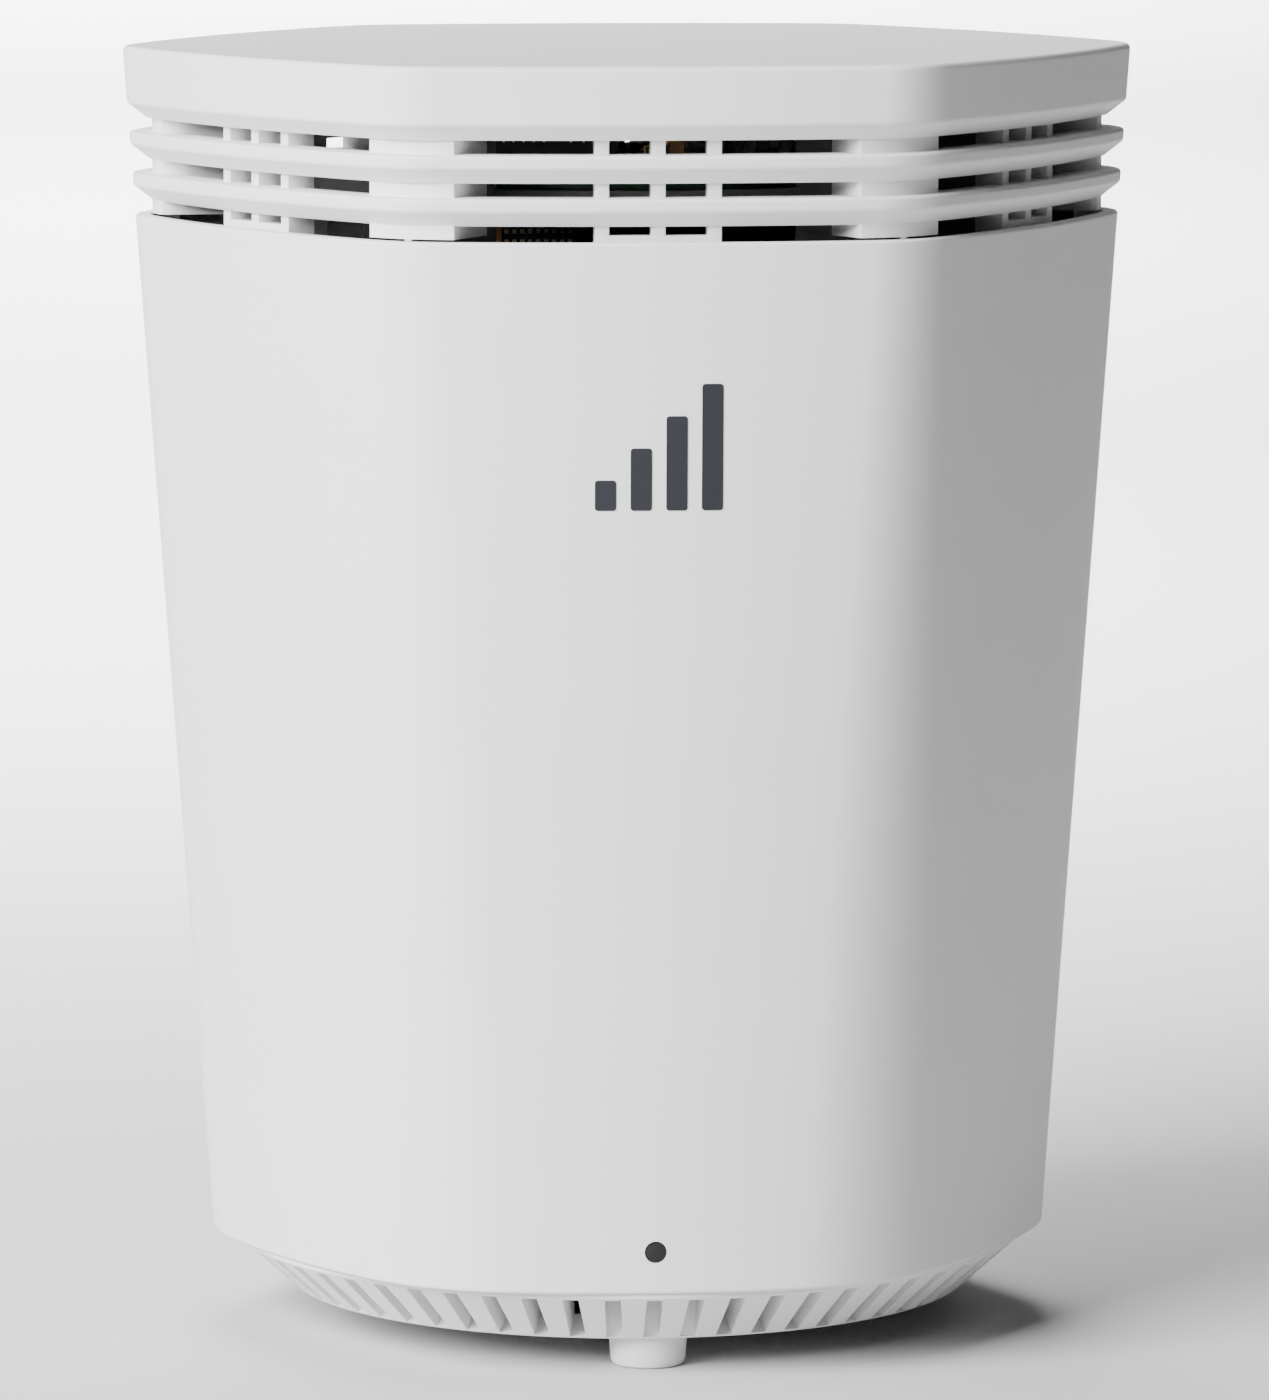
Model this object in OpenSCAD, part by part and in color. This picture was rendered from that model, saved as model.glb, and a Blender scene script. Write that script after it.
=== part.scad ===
// Tower-shaped wireless gateway with bottom-to-top forced cooling.
// Origin: middle of the footprint, on the surface that the feet stand on. +Z is up, -Y is the front.

/* [Enclosure] */
// Height from the feet to the flat lid
total_h = 195.5; // [190:0.5:205]
// Distance from the axis to the middle of a side at the body's lower edge
apothem_low = 61.3; // [60:0.1:64]
// Distance from the axis to the middle of a side at the lid
apothem_high = 71.2; // [69:0.1:73]
// Corner radius in plan at the body's lower edge
corner_low = 32.9; // [30:0.1:34]
// Corner radius in plan at the lid
corner_high = 15.2; // [14:0.1:18]
// Radius of the gently bowed side at the body's lower edge
bow_low = 124.8; // [115:0.1:135]
// Radius of the gently bowed side at the lid
bow_high = 203.9; // [190:0.1:220]
// Wall thickness of the body
wall = 2.4; // [2:0.1:2.6]

/* [Top vents] */
// Distance between one louvre ring and the next
louvre_pitch = 6.25; // [6:0.05:6.4]
// Height of a louvre's upright outer face
louvre_face = 2.05; // [1.8:0.05:2.2]
// Depth of a louvre in front of the vent posts
louvre_depth = 2.7; // [2.4:0.1:2.8]
// Height of the plain band of the lid
lid_band = 8.75; // [8:0.05:9.5]
// Width of a small vent post
post_w = 2.1; // [1.8:0.1:2.4]
// Distance between the small vent posts
post_pitch = 8.2; // [7.8:0.1:8.6]

/* [Base] */
// Height of a foot below the base
foot_h = 5; // [4:0.1:6]
// Radius of a foot
foot_r = 5.9; // [5.5:0.1:6]
// Distance of a foot from the axis
foot_place_r = 44.5; // [43.5:0.1:45.5]
// Radius of the base's flat underside
base_low_r = 52; // [51:0.1:53]
// Radius of the base's louvred cone where it meets the body
base_high_r = 60.6; // [59.5:0.1:60.8]
// Number of intake notches round the base
notch_count = 60; // [60]
// Width of an intake notch
notch_w = 2.45; // [2:0.05:2.6]

/* [Fan] */
// Side of the square cooling fan
fan_side = 60; // [60]
// Depth of the cooling fan
fan_depth = 15; // [15]
// Number of fan blades
blade_count = 7; // [5:1:9]

/* [Boards] */
// Thickness of the circuit boards
board_t = 1.6; // [1.6]
// Travel of the pairing button
pair_travel = 1; // [0.8:0.1:1.2]
// Travel of the recessed reset button
reset_travel = 0.6; // [0.5:0.1:0.8]

/* [Hidden] */
$fn = 64;

fit_gap = 0.3;                  // clearance between parts that do not touch
face_steps = 6;                 // flats that follow a bowed side
corner_steps = 6;               // flats that follow a rounded corner
body_z0 = foot_h + 8.55;        // lower edge of the body
band_z = total_h - lid_band;    // lower edge of the lid's band
louvre_drop = louvre_depth - 0.6;               // height of the sloping underside of a louvre
rim_z = band_z - 2 * louvre_pitch - louvre_drop - 2.25;   // upper edge of the body
core_wall = 2;                  // thickness of the upright core behind the louvres
ring_wall = 6.2;                // how far a louvre ring reaches in from the skin
core_apothem = 66.7;            // the core is upright, so it doesn't follow the taper
core_bow = 300;
core_corner = 19.6;
post_depth = 4.5;               // depth of a small vent post
end_wall_deep = 10;             // depth of the wall on a corner post's right side
end_wall_short = 7;             // depth of the wall on its left side
end_wall_t = 2;
lid_t = 2.4;                    // thickness of the lid
cover_skirt = 7;                // how far the cover's clips reach into the body
corner_post = 7;                // half width of the corner posts
boss_r = 6.8;                   // foot boss on the base
boss_top_z = foot_h + 8.4;
base_floor_t = 2;               // thickness of the base's floor
cone_top_z = body_z0 - 0.75;    // upper edge of the louvred cone
slot_top_z = cone_top_z - 0.35; // upper edge of the intake notches
open_slot_r = 45;               // inner end of a notch that lets air through
blind_slot_r = 52;              // inner end of a notch in front of a foot
deck_z = 32;                    // underside of the chassis deck
deck_t = 2.4;
web_t = 1.8;                    // thickness of the chassis webs
web_in_r = 46;                  // inner edge of the webs
screw_r = 1.5;
pilot_r = 1.2;
fan_y = -5;                     // fan axis, forward of the tower's axis
fan_z = deck_z - fan_depth;     // lower face of the fan
hub_r = 11.5;                   // fan hub
blade_tip_r = 27.4;
shaft_r = 1.5;
main_y = -12;                   // front face of the upright main board
main_z0 = 40;
main_z1 = 175;
main_half_w = 40;
radio_z = 176;                  // underside of the level radio board
radio_r = web_in_r - 0.4;
radio_screw_turns = [45, 165, 285];
port_face_y = 56;               // outer face of the recessed port panel
port_reach_r = 62;              // how far from the axis the port board may reach
port_z = 26;                    // top face of the port board
port_half_w = 27;
port_win_z0 = 22.5;
port_win_z1 = 43.5;
jack_w = 15.9;
jack_h = 13.4;
jack_d = 21;
jack_x = [4.6, -12];
inlet_x = 19.2;
button_x = -23.4;
pair_z = 37.2;
reset_z = 28.6;
lens_z = 20;
lens_r = 1.6;
mark_z = 140.1;
mark_size = 18.8;

// ---- the tapered, rounded, bowed hexagon that every cover follows ----

function part_way(z) = (z - body_z0) / (total_h - body_z0);
function mix(low, high, z) = low + (high - low) * part_way(z);
function apothem(z) = mix(apothem_low, apothem_high, z);
function bow(z) = mix(bow_low, bow_high, z);
function corner(z) = mix(corner_low, corner_high, z);
function ray(r, angle) = [r * cos(angle), r * sin(angle)];

// Distance from the axis to the centre of a corner's arc, on a hexagon with bowed sides
function corner_centre(apothem, bow, corner) =
    let (back = bow - apothem, b = back * cos(30), free = bow - corner)
    sqrt(b * b - back * back + free * free) - b;

// Hexagon with bowed sides and round corners, moved inwards by inset
function hexagon(apothem, bow, corner, inset) =
    let (back = bow - apothem, centre = corner_centre(apothem, bow, corner),
         half = atan2(centre / 2, centre * cos(30) + back))
    [
        for (side = [0 : 5])
            let (a = side * 60 - 90)
            each concat(
                [for (i = [0 : face_steps])
                    ray(-back, a) + ray(bow - inset, a + half * (2 * i / face_steps - 1))],
                [for (i = [1 : corner_steps - 1])
                    ray(centre, a + 30)
                        + ray(corner - inset, a + half + (60 - 2 * half) * i / corner_steps)]
            )
    ];

// Outline of the skin at height z, moved inwards by inset
function outline(z, inset) = hexagon(apothem(z), bow(z), corner(z), inset);
function vertex_r(z) = corner_centre(apothem(z), bow(z), corner(z)) + corner(z);
function bow_centre(z) = bow(z) - apothem(z);
outline_n = 6 * (face_steps + corner_steps);

function loft_points(profile) = [
    for (p = profile) each [for (q = outline(p[0], p[1])) [q[0], q[1], p[0]]]
];
function band_faces(i, k) = [
    for (j = [0 : outline_n - 1])
        let (a = i * outline_n + j, b = i * outline_n + (j + 1) % outline_n,
             c = k * outline_n + j, d = k * outline_n + (j + 1) % outline_n)
        each [[a, c, d], [a, d, b]]
];

// A closed wall: profile lists [z, inset] round the wall's section, up the outside and down the inside
module lofted_wall(profile) {
    count = len(profile);
    polyhedron(
        points = loft_points(profile),
        faces = [for (i = [0 : count - 1]) each band_faces(i, (i + 1) % count)],
        convexity = 8
    );
}

// A closed solid: profile lists [z, inset] from the bottom to the top
module lofted_solid(profile) {
    count = len(profile);
    last = (count - 1) * outline_n;
    polyhedron(
        points = loft_points(profile),
        faces = concat(
            [[for (j = [0 : outline_n - 1]) j]],
            [for (i = [0 : count - 2]) each band_faces(i, i + 1)],
            [[for (j = [outline_n - 1 : -1 : 0]) last + j]]
        ),
        convexity = 8
    );
}

// Repeats its children on each of the sides or corners that are listed by angle
module around(angles) {
    for (a = angles) rotate(a) children();
}

module box(x, y, z) {
    translate([x[0], y[0], z[0]]) cube([x[1] - x[0], y[1] - y[0], z[1] - z[0]]);
}

module pan_screw(head_r, head_h, r, length) {
    translate([0, 0, -head_h]) cylinder(h = head_h, r = head_r);
    cylinder(h = length, r = r);
}

// ---- covers ----

side_angles = [0 : 60 : 300];                  // turns from the front side
corner_angles = [30 : 60 : 330];
foot_angles = [0, 120, 240];                   // turns from the front foot
post_z0 = rim_z - cover_skirt;
post_z1 = band_z - 0.6;

module louvre(edge_z) {
    lofted_wall([
        [edge_z - louvre_drop, louvre_depth],
        [edge_z - 0.15, 0.55],
        [edge_z + 0.15, 0.16],
        [edge_z + 0.55, 0],
        [edge_z + louvre_face - 0.6, 0],
        [edge_z + louvre_face - 0.15, 0.2],
        [edge_z + louvre_face, 0.6],
        [edge_z + louvre_face, ring_wall],
        [edge_z - louvre_drop, ring_wall],
    ]);
}

// Upright core: the full outline less its own outline moved inwards by depth
module core(depth, z0, z1) {
    translate([0, 0, z0]) linear_extrude(z1 - z0) difference() {
        polygon(hexagon(core_apothem, core_bow, core_corner, 0));
        polygon(hexagon(core_apothem, core_bow, core_corner, depth));
    }
}

module vent_posts() {
    intersection() {
        core(post_depth, post_z0, post_z1);
        union() {
            around(side_angles) {
                for (i = [-1 : 1])
                    box([i * post_pitch - post_w / 2, i * post_pitch + post_w / 2], [-80, -50],
                        [post_z0 - 1, post_z1 + 1]);
                box([-post_pitch, post_pitch], [-80, core_wall - core_apothem], [post_z0 - 1, rim_z + 0.9]);
            }
        }
    }
    intersection() {
        core(core_wall, post_z0, post_z1);
        around(corner_angles) {
            box([-corner_post, corner_post], [-90, -50], [rim_z + 0.3, post_z1 + 1]);
            box([-0.6, 0.6], [-90, -50], [rim_z + 0.05, rim_z + 1]);
        }
    }
    for (side = [-1, 1]) intersection() {
        core(side > 0 ? end_wall_deep : end_wall_short, post_z0, post_z1);
        around(corner_angles)
            translate([side * (corner_post - end_wall_t / 2), 0, 0])
                box([-end_wall_t / 2, end_wall_t / 2], [-90, -50], [rim_z + 0.3, post_z1 + 1]);
    }
}

module top_cover() {
    color("white") {
        difference() {
            lofted_solid([
                [band_z - louvre_drop, louvre_depth],
                [band_z - 0.2, 0.6], [band_z + 0.2, 0.16], [band_z + 0.7, 0],
                [total_h - 1.1, 0], [total_h - 0.35, 0.25], [total_h, 1.1],
            ]);
            lofted_solid([
                [band_z - louvre_drop - 1, ring_wall], [total_h - lid_t, ring_wall],
            ]);
        }
        for (i = [1 : 2]) louvre(band_z - i * louvre_pitch);
        vent_posts();
        // pads that rest on the chassis webs
        around(corner_angles)
            box([-1.4, 1.4], [-60, -52], [band_z - 1, total_h - lid_t + 0.5]);
    }
}

module port_window() {
    box([-port_half_w - 1.2, port_half_w + 1.2], [45, 80], [port_win_z0, port_win_z1]);
}

module body_shell() {
    color("white")
    difference() {
        lofted_wall([
            [body_z0, 0.7], [body_z0 + 0.25, 0.2], [body_z0 + 0.8, 0], [rim_z - 0.4, 0], [rim_z, 0.3],
            [rim_z, wall], [body_z0, wall],
        ]);
        port_window();
        translate([0, 0, lens_z]) rotate([90, 0, 0]) cylinder(h = 80, r = lens_r + 0.05);
    }
}

module base_ring() {
    floor_z = foot_h + base_floor_t;
    ledge_z = cone_top_z + 0.1;
    color("white")
    difference() {
        union() {
            difference() {
                rotate_extrude($fn = 128)
                polygon([
                    [20, foot_h], [base_low_r - 0.6, foot_h], [base_low_r + 0.2, foot_h + 0.3],
                    [base_high_r, cone_top_z], [base_high_r, body_z0 - 0.05],
                    [58.2, body_z0 - 0.05], [58.2, body_z0 + 2], [56.6, body_z0 + 2],
                    [54.4, ledge_z], [48, ledge_z], [48, floor_z], [20, floor_z],
                ]);
                // the three slots behind each foot are blind
                for (i = [0 : notch_count - 1])
                    rotate(i * 360 / notch_count - 90)
                        intake_slot((i + 1) % (notch_count / 3) < 3 ? blind_slot_r : open_slot_r);
            }
            around(foot_angles) translate([0, -foot_place_r, foot_h])
                cylinder(h = boss_top_z - foot_h, r = boss_r);
            translate([0, 0, foot_h]) cylinder(h = base_floor_t, r = 21);
        }
        around(foot_angles) translate([0, -foot_place_r, 0]) {
            cylinder(h = foot_h + 3, r = 3.6);
            cylinder(h = 20, r = screw_r + 0.15);
        }
    }
}

// One radial intake slot along +X from in_r outwards, with a floor that rises inwards
module intake_slot(in_r) {
    slope_r = base_low_r + 0.7;
    low_z = foot_h + 0.15;
    slope = 0.62;               // rise of the slot's floor for each millimetre inwards
    rotate([90, 0, 0])
    translate([0, 0, -notch_w / 2])
    linear_extrude(notch_w)
    polygon([
        [in_r, low_z + slope * (slope_r - in_r)], [in_r, slot_top_z],
        [70, slot_top_z], [70, low_z], [slope_r, low_z],
    ]);
}

module foot(turn) {
    color("whitesmoke")
    rotate(turn) translate([0, -foot_place_r, 0])
    rotate_extrude()
    polygon([
        [0, 0], [foot_r - 1.1, 0], [foot_r - 0.5, 0.25], [foot_r - 0.25, 0.8], [foot_r, foot_h],
        [3.5, foot_h], [3.5, foot_h + 1.2], [0, foot_h + 1.2],
    ]);
}

module base_screws() {
    color("silver")
    around(foot_angles) translate([0, -foot_place_r, foot_h + 3])
        pan_screw(2.8, 1.6, screw_r, 14);
}

// ---- indicator ----

lens_face_y = -apothem(lens_z) + 0.05;

module indicator_lens() {
    color("black")
    translate([0, lens_face_y, lens_z]) rotate([-90, 0, 0]) {
        cylinder(h = 4.6, r = lens_r);
        translate([0, 0, wall + 0.4]) cylinder(h = 1.2, r = 2.6);
    }
}

led_y = lens_face_y + 4.9;
led_back_y = led_y + 2;

module indicator_led() {
    color("lightyellow")
    box([-0.8, 0.8], [led_y, led_y + 0.8], [lens_z - 0.8, lens_z + 0.8]);
}

module led_board() {
    color("darkgreen")
    box([-7, 7], [led_y + 0.8, led_back_y], [body_z0 + 3, lens_z + 8]);
}

module front_mark() {
    bars = 4;
    bar_w = 3.2;
    step = (mark_size - bar_w) / (bars - 1);
    low_z = mark_z - mark_size / 2;
    tilt = atan((apothem_high - apothem_low) / (total_h - body_z0));
    color("dimgray")
    for (i = [0 : bars - 1]) {
        height = mark_size * (i + 1) / bars;
        x = -mark_size / 2 + bar_w / 2 + i * step;
        turn = asin(x / bow(low_z));
        translate([0, bow_centre(low_z), low_z]) rotate(turn)
            translate([0, -bow(low_z), 0]) rotate([tilt, 0, 0])
                box([-bar_w / 2, bar_w / 2], [-0.12, 0], [0, height]);
    }
}

// ---- chassis and boards ----

module web() {
    // Upright fin that guides the air and stiffens the tower
    outer_low = vertex_r(deck_z) - wall - fit_gap;
    outer_high = vertex_r(rim_z) - ring_wall - 2 * fit_gap;
    rotate([90, 0, 0])
    translate([0, 0, -web_t / 2])
    linear_extrude(web_t)
    polygon([
        [web_in_r + 6, deck_z + 0.5], [outer_low, deck_z + 0.5], [outer_high, rim_z - cover_skirt],
        [outer_high, band_z - 1], [web_in_r, band_z - 1], [web_in_r, rim_z - 24],
        [web_in_r + 6, rim_z - 36],
    ]);
}

module chassis() {
    shelf = 3;
    color("lightgray")
    difference() {
        union() {
            translate([0, 0, deck_z]) cylinder(h = deck_t, r = 58);
            around(side_angles) web();
            // hoop that carries the radio board
            difference() {
                translate([0, 0, radio_z - shelf]) cylinder(h = shelf, r = web_in_r + 1);
                translate([0, 0, radio_z - shelf - 1]) cylinder(h = shelf + 2, r = web_in_r - 4);
            }
            around(foot_angles) translate([0, -foot_place_r, boss_top_z])
                cylinder(h = deck_z - boss_top_z + 0.5, r = 3.8);
            // cheeks that the port board hangs from
            for (side = [-1, 1])
                translate([side * (port_half_w + 3), 0, 0])
                    box([-2.2, 2.2], [31, 47], [port_z, deck_z + 1]);
            // prongs behind the indicator's board
            for (side = [-1, 1])
                translate([side * 5.5, 0, 0])
                    box([-1.2, 1.2], [led_back_y, led_back_y + 2], [22, deck_z + 1]);
            // feet of the upright main board
            for (side = [-1, 1])
                translate([side * 32, main_y, 0]) box([-5, 5], [-4, 0], [deck_z + 1, main_z0 + 14]);
            for (side = [-1, 1])
                translate([side * 37, main_y, 0]) box([-4, 4], [-4, 0], [main_z1 - 14, radio_z - 0.5]);
        }
        // air opening above the fan
        translate([0, fan_y, deck_z - 1]) cylinder(h = deck_t + 2, r = 28);
        // room for the sockets and the buttons
        box([-port_half_w - 0.8, port_half_w + 0.8], [31, port_reach_r], [deck_z - 1, port_win_z1 + 1]);
        for (x = [-25, 25], y = [-25, 25])
            translate([x, fan_y + y, deck_z - 1]) cylinder(h = deck_t + 2, r = pilot_r);
        around(foot_angles) translate([0, -foot_place_r, foot_h]) cylinder(h = 19, r = screw_r);
        for (side = [-1, 1])
            translate([side * (port_half_w + 3), 39, port_z - 1]) cylinder(h = 5.8, r = pilot_r);
        for (side = [-1, 1], z = [main_z0 + 8, main_z1 - 8])
            translate([side * (z < 100 ? 32 : 36), main_y + 1, z]) rotate([90, 0, 0])
                cylinder(h = 6, r = pilot_r);
        around(radio_screw_turns) translate([0, -(web_in_r - 2), radio_z - shelf - 1])
            cylinder(h = shelf + 2, r = 0.8);
    }
}

module main_board() {
    color("darkgreen")
    difference() {
        union() {
            box([-main_half_w, main_half_w], [main_y, main_y + board_t], [main_z0, main_z1]);
            // coils, a block connector and cans soldered to the front face
            for (x = [-6, 4, 30])
                translate([x, main_y, x > 20 ? 58 : 50]) rotate([90, 0, 0]) cylinder(h = 3, r = 3.4);
            box([-20.6, -9], [main_y - 3, main_y + 0.5], [158, 169.4]);
            box([-23, -20.1], [main_y - 3.4, main_y + 0.5], [166, main_z1 - 0.6]);
            for (place = [[26, 78], [33, 86], [-32, 70], [-31, 100], [30.5, 150]])
                translate([place[0], main_y + 0.5, place[1]]) rotate([90, 0, 0]) cylinder(h = 3.9, r = 2.6);
            // low parts on the back face
            box([-34, -16], [main_y, main_y + board_t + 2], [148, 156]);
            box([14, 34], [main_y, main_y + board_t + 2], [60, 74]);
        }
        for (side = [-1, 1], z = [main_z0 + 8, main_z1 - 8])
            translate([side * (z < 100 ? 32 : 36), main_y + 3, z]) rotate([90, 0, 0])
                cylinder(h = 6, r = screw_r + 0.1);
    }
}

module main_board_screws() {
    color("silver")
    for (side = [-1, 1], z = [main_z0 + 8, main_z1 - 8])
        translate([side * (z < 100 ? 32 : 36), main_y + board_t, z]) rotate([90, 0, 0])
            pan_screw(2.7, 1.6, pilot_r, board_t + 3.6);
}

sink_z0 = 84;
sink_z1 = 140;
chip_t = 1.2;
pad_t = 1;
sink_y = main_y + board_t + chip_t + pad_t;

module processor() {
    color("dimgray")
    box([-10, 10], [main_y + board_t, main_y + board_t + chip_t], [102, 122]);
}

module thermal_pad() {
    color("lightblue")
    box([-9, 9], [sink_y - pad_t, sink_y], [103, 121]);
}

module heat_sink() {
    base_t = 3;
    fin_t = 1.4;
    fins = 9;
    width = 56;
    depth = 20;
    color("silver") {
        box([-width / 2, width / 2], [sink_y, sink_y + base_t], [sink_z0, sink_z1]);
        for (i = [0 : fins - 1])
            translate([-width / 2 + i * (width - fin_t) / (fins - 1), 0, 0])
                box([0, fin_t], [sink_y + base_t - 0.5, sink_y + depth], [sink_z0, sink_z1]);
    }
}

module shield_cans() {
    can_d = 3;
    color("rosybrown") {
        box([-19.7, -5], [main_y - can_d, main_y], [170.2, main_z1 - 0.5]);
        box([-28, -2], [main_y - can_d, main_y], [112, 140]);
        box([6, 26], [main_y - can_d, main_y], [118, 140]);
    }
}

module board_connector() {
    // Upright link between the main board and the port board
    color("black") {
        box([-14, 14], [main_y + board_t, main_y + board_t + 5], [main_z0 + 2, main_z0 + 8]);
    }
}

module radio_board() {
    color("darkgreen")
    difference() {
        union() {
            translate([0, 0, radio_z]) cylinder(h = board_t, r = radio_r, $fn = 96);
            // plug block beside the contact springs, and the stack of parts at the back
            box([3.3, 5.5], [-radio_r + 2.4, -radio_r + 6.4], [radio_z + 0.5, radio_z + board_t + 6.4]);
            box([-5.5, 5.5], [-5, 5], [radio_z + 0.5, radio_z + board_t + 3]);
        }
        around(radio_screw_turns) translate([0, -(web_in_r - 2), radio_z - 1])
            cylinder(h = board_t + 2, r = 1.1);
    }
}

module radio_screws() {
    color("silver")
    around(radio_screw_turns) translate([0, -(web_in_r - 2), radio_z + board_t])
        rotate([180, 0, 0]) pan_screw(1.5, 1, 0.8, 4);
}

module radio_shields() {
    color("silver")
    for (i = [0 : 3]) rotate(i * 90 + 45)
        box([8, 26], [-8, 8], [radio_z + board_t, radio_z + board_t + 2.6]);
}

module contact_springs() {
    loop_z = 5.5;
    color("gold")
    for (x = [-0.2, 2.2])
        translate([x, -radio_r + 4, radio_z + board_t])
            rotate([90, 0, 0]) difference() {
                union() {
                    translate([0, loop_z, 0]) cylinder(h = 1.4, r = 0.95, $fn = 32);
                    box([-0.55, 0.55], [0, loop_z - 0.4], [0, 1.4]);
                }
                translate([0, loop_z, -1]) cylinder(h = 4, r = 0.6, $fn = 32);
            }
}

antenna_y = radio_r - 9;

module antenna_board(turn) {
    // Small upright board that stands on the radio board's edge, behind one side of the vents
    color("black")
    rotate(turn)
    box([-23, -4], [-antenna_y - 1, -antenna_y], [radio_z + board_t, total_h - lid_t - 1.5]);
}

connector_r = 30;

module lead_connectors() {
    color("goldenrod")
    for (turn = [0, 90, 180, 270]) rotate(turn) translate([0, -connector_r, radio_z + board_t])
        cylinder(h = 1.6, r = 1.5, $fn = 32);
}

module antenna_leads() {
    // Thin coaxial lead from each antenna board's solder pad to its connector
    lead_r = 0.6;
    rise = radio_z + board_t + 2.2;
    board_end = [-9, -antenna_y + 0.5];
    run = board_end - [0, -connector_r];
    color("dimgray")
    for (turn = [0, 90, 180, 270]) rotate(turn) {
        translate([0, -connector_r, radio_z + board_t + 1.6]) cylinder(h = 1.2, r = 0.9, $fn = 24);
        translate([0, -connector_r, rise]) rotate(atan2(run[1], run[0])) rotate([0, 90, 0])
            cylinder(h = norm(run), r = lead_r, $fn = 24);
        box([board_end[0] - 1.2, board_end[0] + 1.2], [-antenna_y, -antenna_y + 0.8],
            [rise - 1, rise + 1]);
    }
}

// ---- fan ----

module fan_frame() {
    strut_z = fan_z;
    half = fan_side / 2;
    duct_r = 28.4;
    color("black")
    translate([0, fan_y, 0])
    difference() {
        union() {
            difference() {
                box([-half, half], [-half, half], [fan_z, fan_z + fan_depth]);
                translate([0, 0, fan_z - 1]) cylinder(h = fan_depth + 2, r = duct_r);
            }
            translate([0, 0, strut_z]) cylinder(h = 1.6, r = 12);
            for (turn = [45 : 90 : 315]) rotate(turn)
                box([10, duct_r + 1], [-1.5, 1.5], [strut_z, strut_z + 1.6]);
            // tube that holds the bearing
            translate([0, 0, strut_z + 1]) cylinder(h = 8.2, r = 3.4);
        }
        translate([0, 0, strut_z + 1.2]) cylinder(h = 20, r = 2.5);
        for (x = [-25, 25], y = [-25, 25])
            translate([x, y, fan_z - 1]) cylinder(h = fan_depth + 2, r = 2.1);
    }
}

module fan_bearing() {
    color("goldenrod")
    translate([0, fan_y, fan_z + 2])
    difference() {
        cylinder(h = 7, r = 2.48);
        translate([0, 0, -1]) cylinder(h = 9, r = shaft_r + 0.04);
    }
}

module fan_stator() {
    color("peru")
    translate([0, fan_y, fan_z + 2.4])
    difference() {
        union() {
            cylinder(h = 5.6, r = 4.6);
            for (turn = [0 : 90 : 270]) rotate(turn) {
                box([4, 7.4], [-1.6, 1.6], [0.6, 5]);
                box([7.2, 8.6], [-4, 4], [0.4, 5.2]);
            }
        }
        translate([0, 0, -1]) cylinder(h = 8, r = 3.42);
    }
}

module fan_shaft() {
    color("silver")
    translate([0, fan_y, fan_z + 2]) cylinder(h = 10.4, r = shaft_r);
}

module fan_blade() {
    // One pitched blade, bounded by the hub and the tip circle
    intersection() {
        difference() {
            translate([0, 0, fan_z + 2]) cylinder(h = 11.6, r = blade_tip_r);
            translate([0, 0, fan_z]) cylinder(h = 16, r = hub_r - 0.6);
        }
        translate([hub_r - 1, 0, fan_z + 7.8]) rotate([38, 0, 0])
            box([0, 30], [-8.6, 8.6], [-0.7, 0.7]);
    }
}

module fan_rotor() {
    color("black")
    translate([0, fan_y, 0]) {
        difference() {
            translate([0, 0, fan_z + 2]) cylinder(h = 12, r = hub_r);
            translate([0, 0, fan_z + 1]) cylinder(h = 9.6, r = hub_r - 1.6);
            translate([0, 0, fan_z + 1]) cylinder(h = 11.4, r = shaft_r);
        }
    }
    color("black")
    translate([0, fan_y, 0])
        for (i = [0 : blade_count - 1]) rotate(i * 360 / blade_count) fan_blade();
}

module fan_screws() {
    color("silver")
    for (x = [-25, 25], y = [-25, 25])
        translate([x, fan_y + y, fan_z]) pan_screw(2.6, 1.5, pilot_r, fan_depth + deck_t);
}

// ---- sockets and buttons at the back ----

port_panel_t = 2;

module port_board() {
    color("darkgreen")
    difference() {
        intersection() {
            box([-port_half_w - 5, port_half_w + 5], [31, port_face_y - port_panel_t],
                [port_z - board_t, port_z]);
            translate([0, 0, port_z - board_t]) cylinder(h = board_t, r = port_reach_r);
        }
        for (side = [-1, 1])
            translate([side * (port_half_w + 3), 39, port_z - board_t - 1])
                cylinder(h = board_t + 2, r = screw_r);
    }
}

module port_board_screws() {
    color("silver")
    for (side = [-1, 1])
        translate([side * (port_half_w + 3), 39, port_z - board_t])
            pan_screw(2.2, 1.2, pilot_r, board_t + 4.6);
}

module jack_body(x, mouth_w, mouth_z0, mouth_z1) {
    difference() {
        box([x - jack_w / 2, x + jack_w / 2], [port_face_y - jack_d, port_face_y - 0.3],
            [port_z, port_z + jack_h]);
        box([x - mouth_w / 2, x + mouth_w / 2], [port_face_y - 14, port_face_y + 1],
            [mouth_z0, mouth_z1]);
    }
}

module network_jack(x) {
    color("silver")
    jack_body(x, 11.8, port_z + 2.2, port_z + 10.6);
}

module power_inlet() {
    z = port_z + 5.6;
    color("black") {
        difference() {
            box([inlet_x - 4.6, inlet_x + 4.6], [port_face_y - 14, port_face_y - 0.3],
                [port_z, port_z + 11]);
            translate([inlet_x, port_face_y + 1, z]) rotate([90, 0, 0]) cylinder(h = 11, r = 3.1);
        }
        translate([inlet_x, port_face_y - 2, z]) rotate([90, 0, 0]) cylinder(h = 9, r = 1);
    }
}

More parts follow.
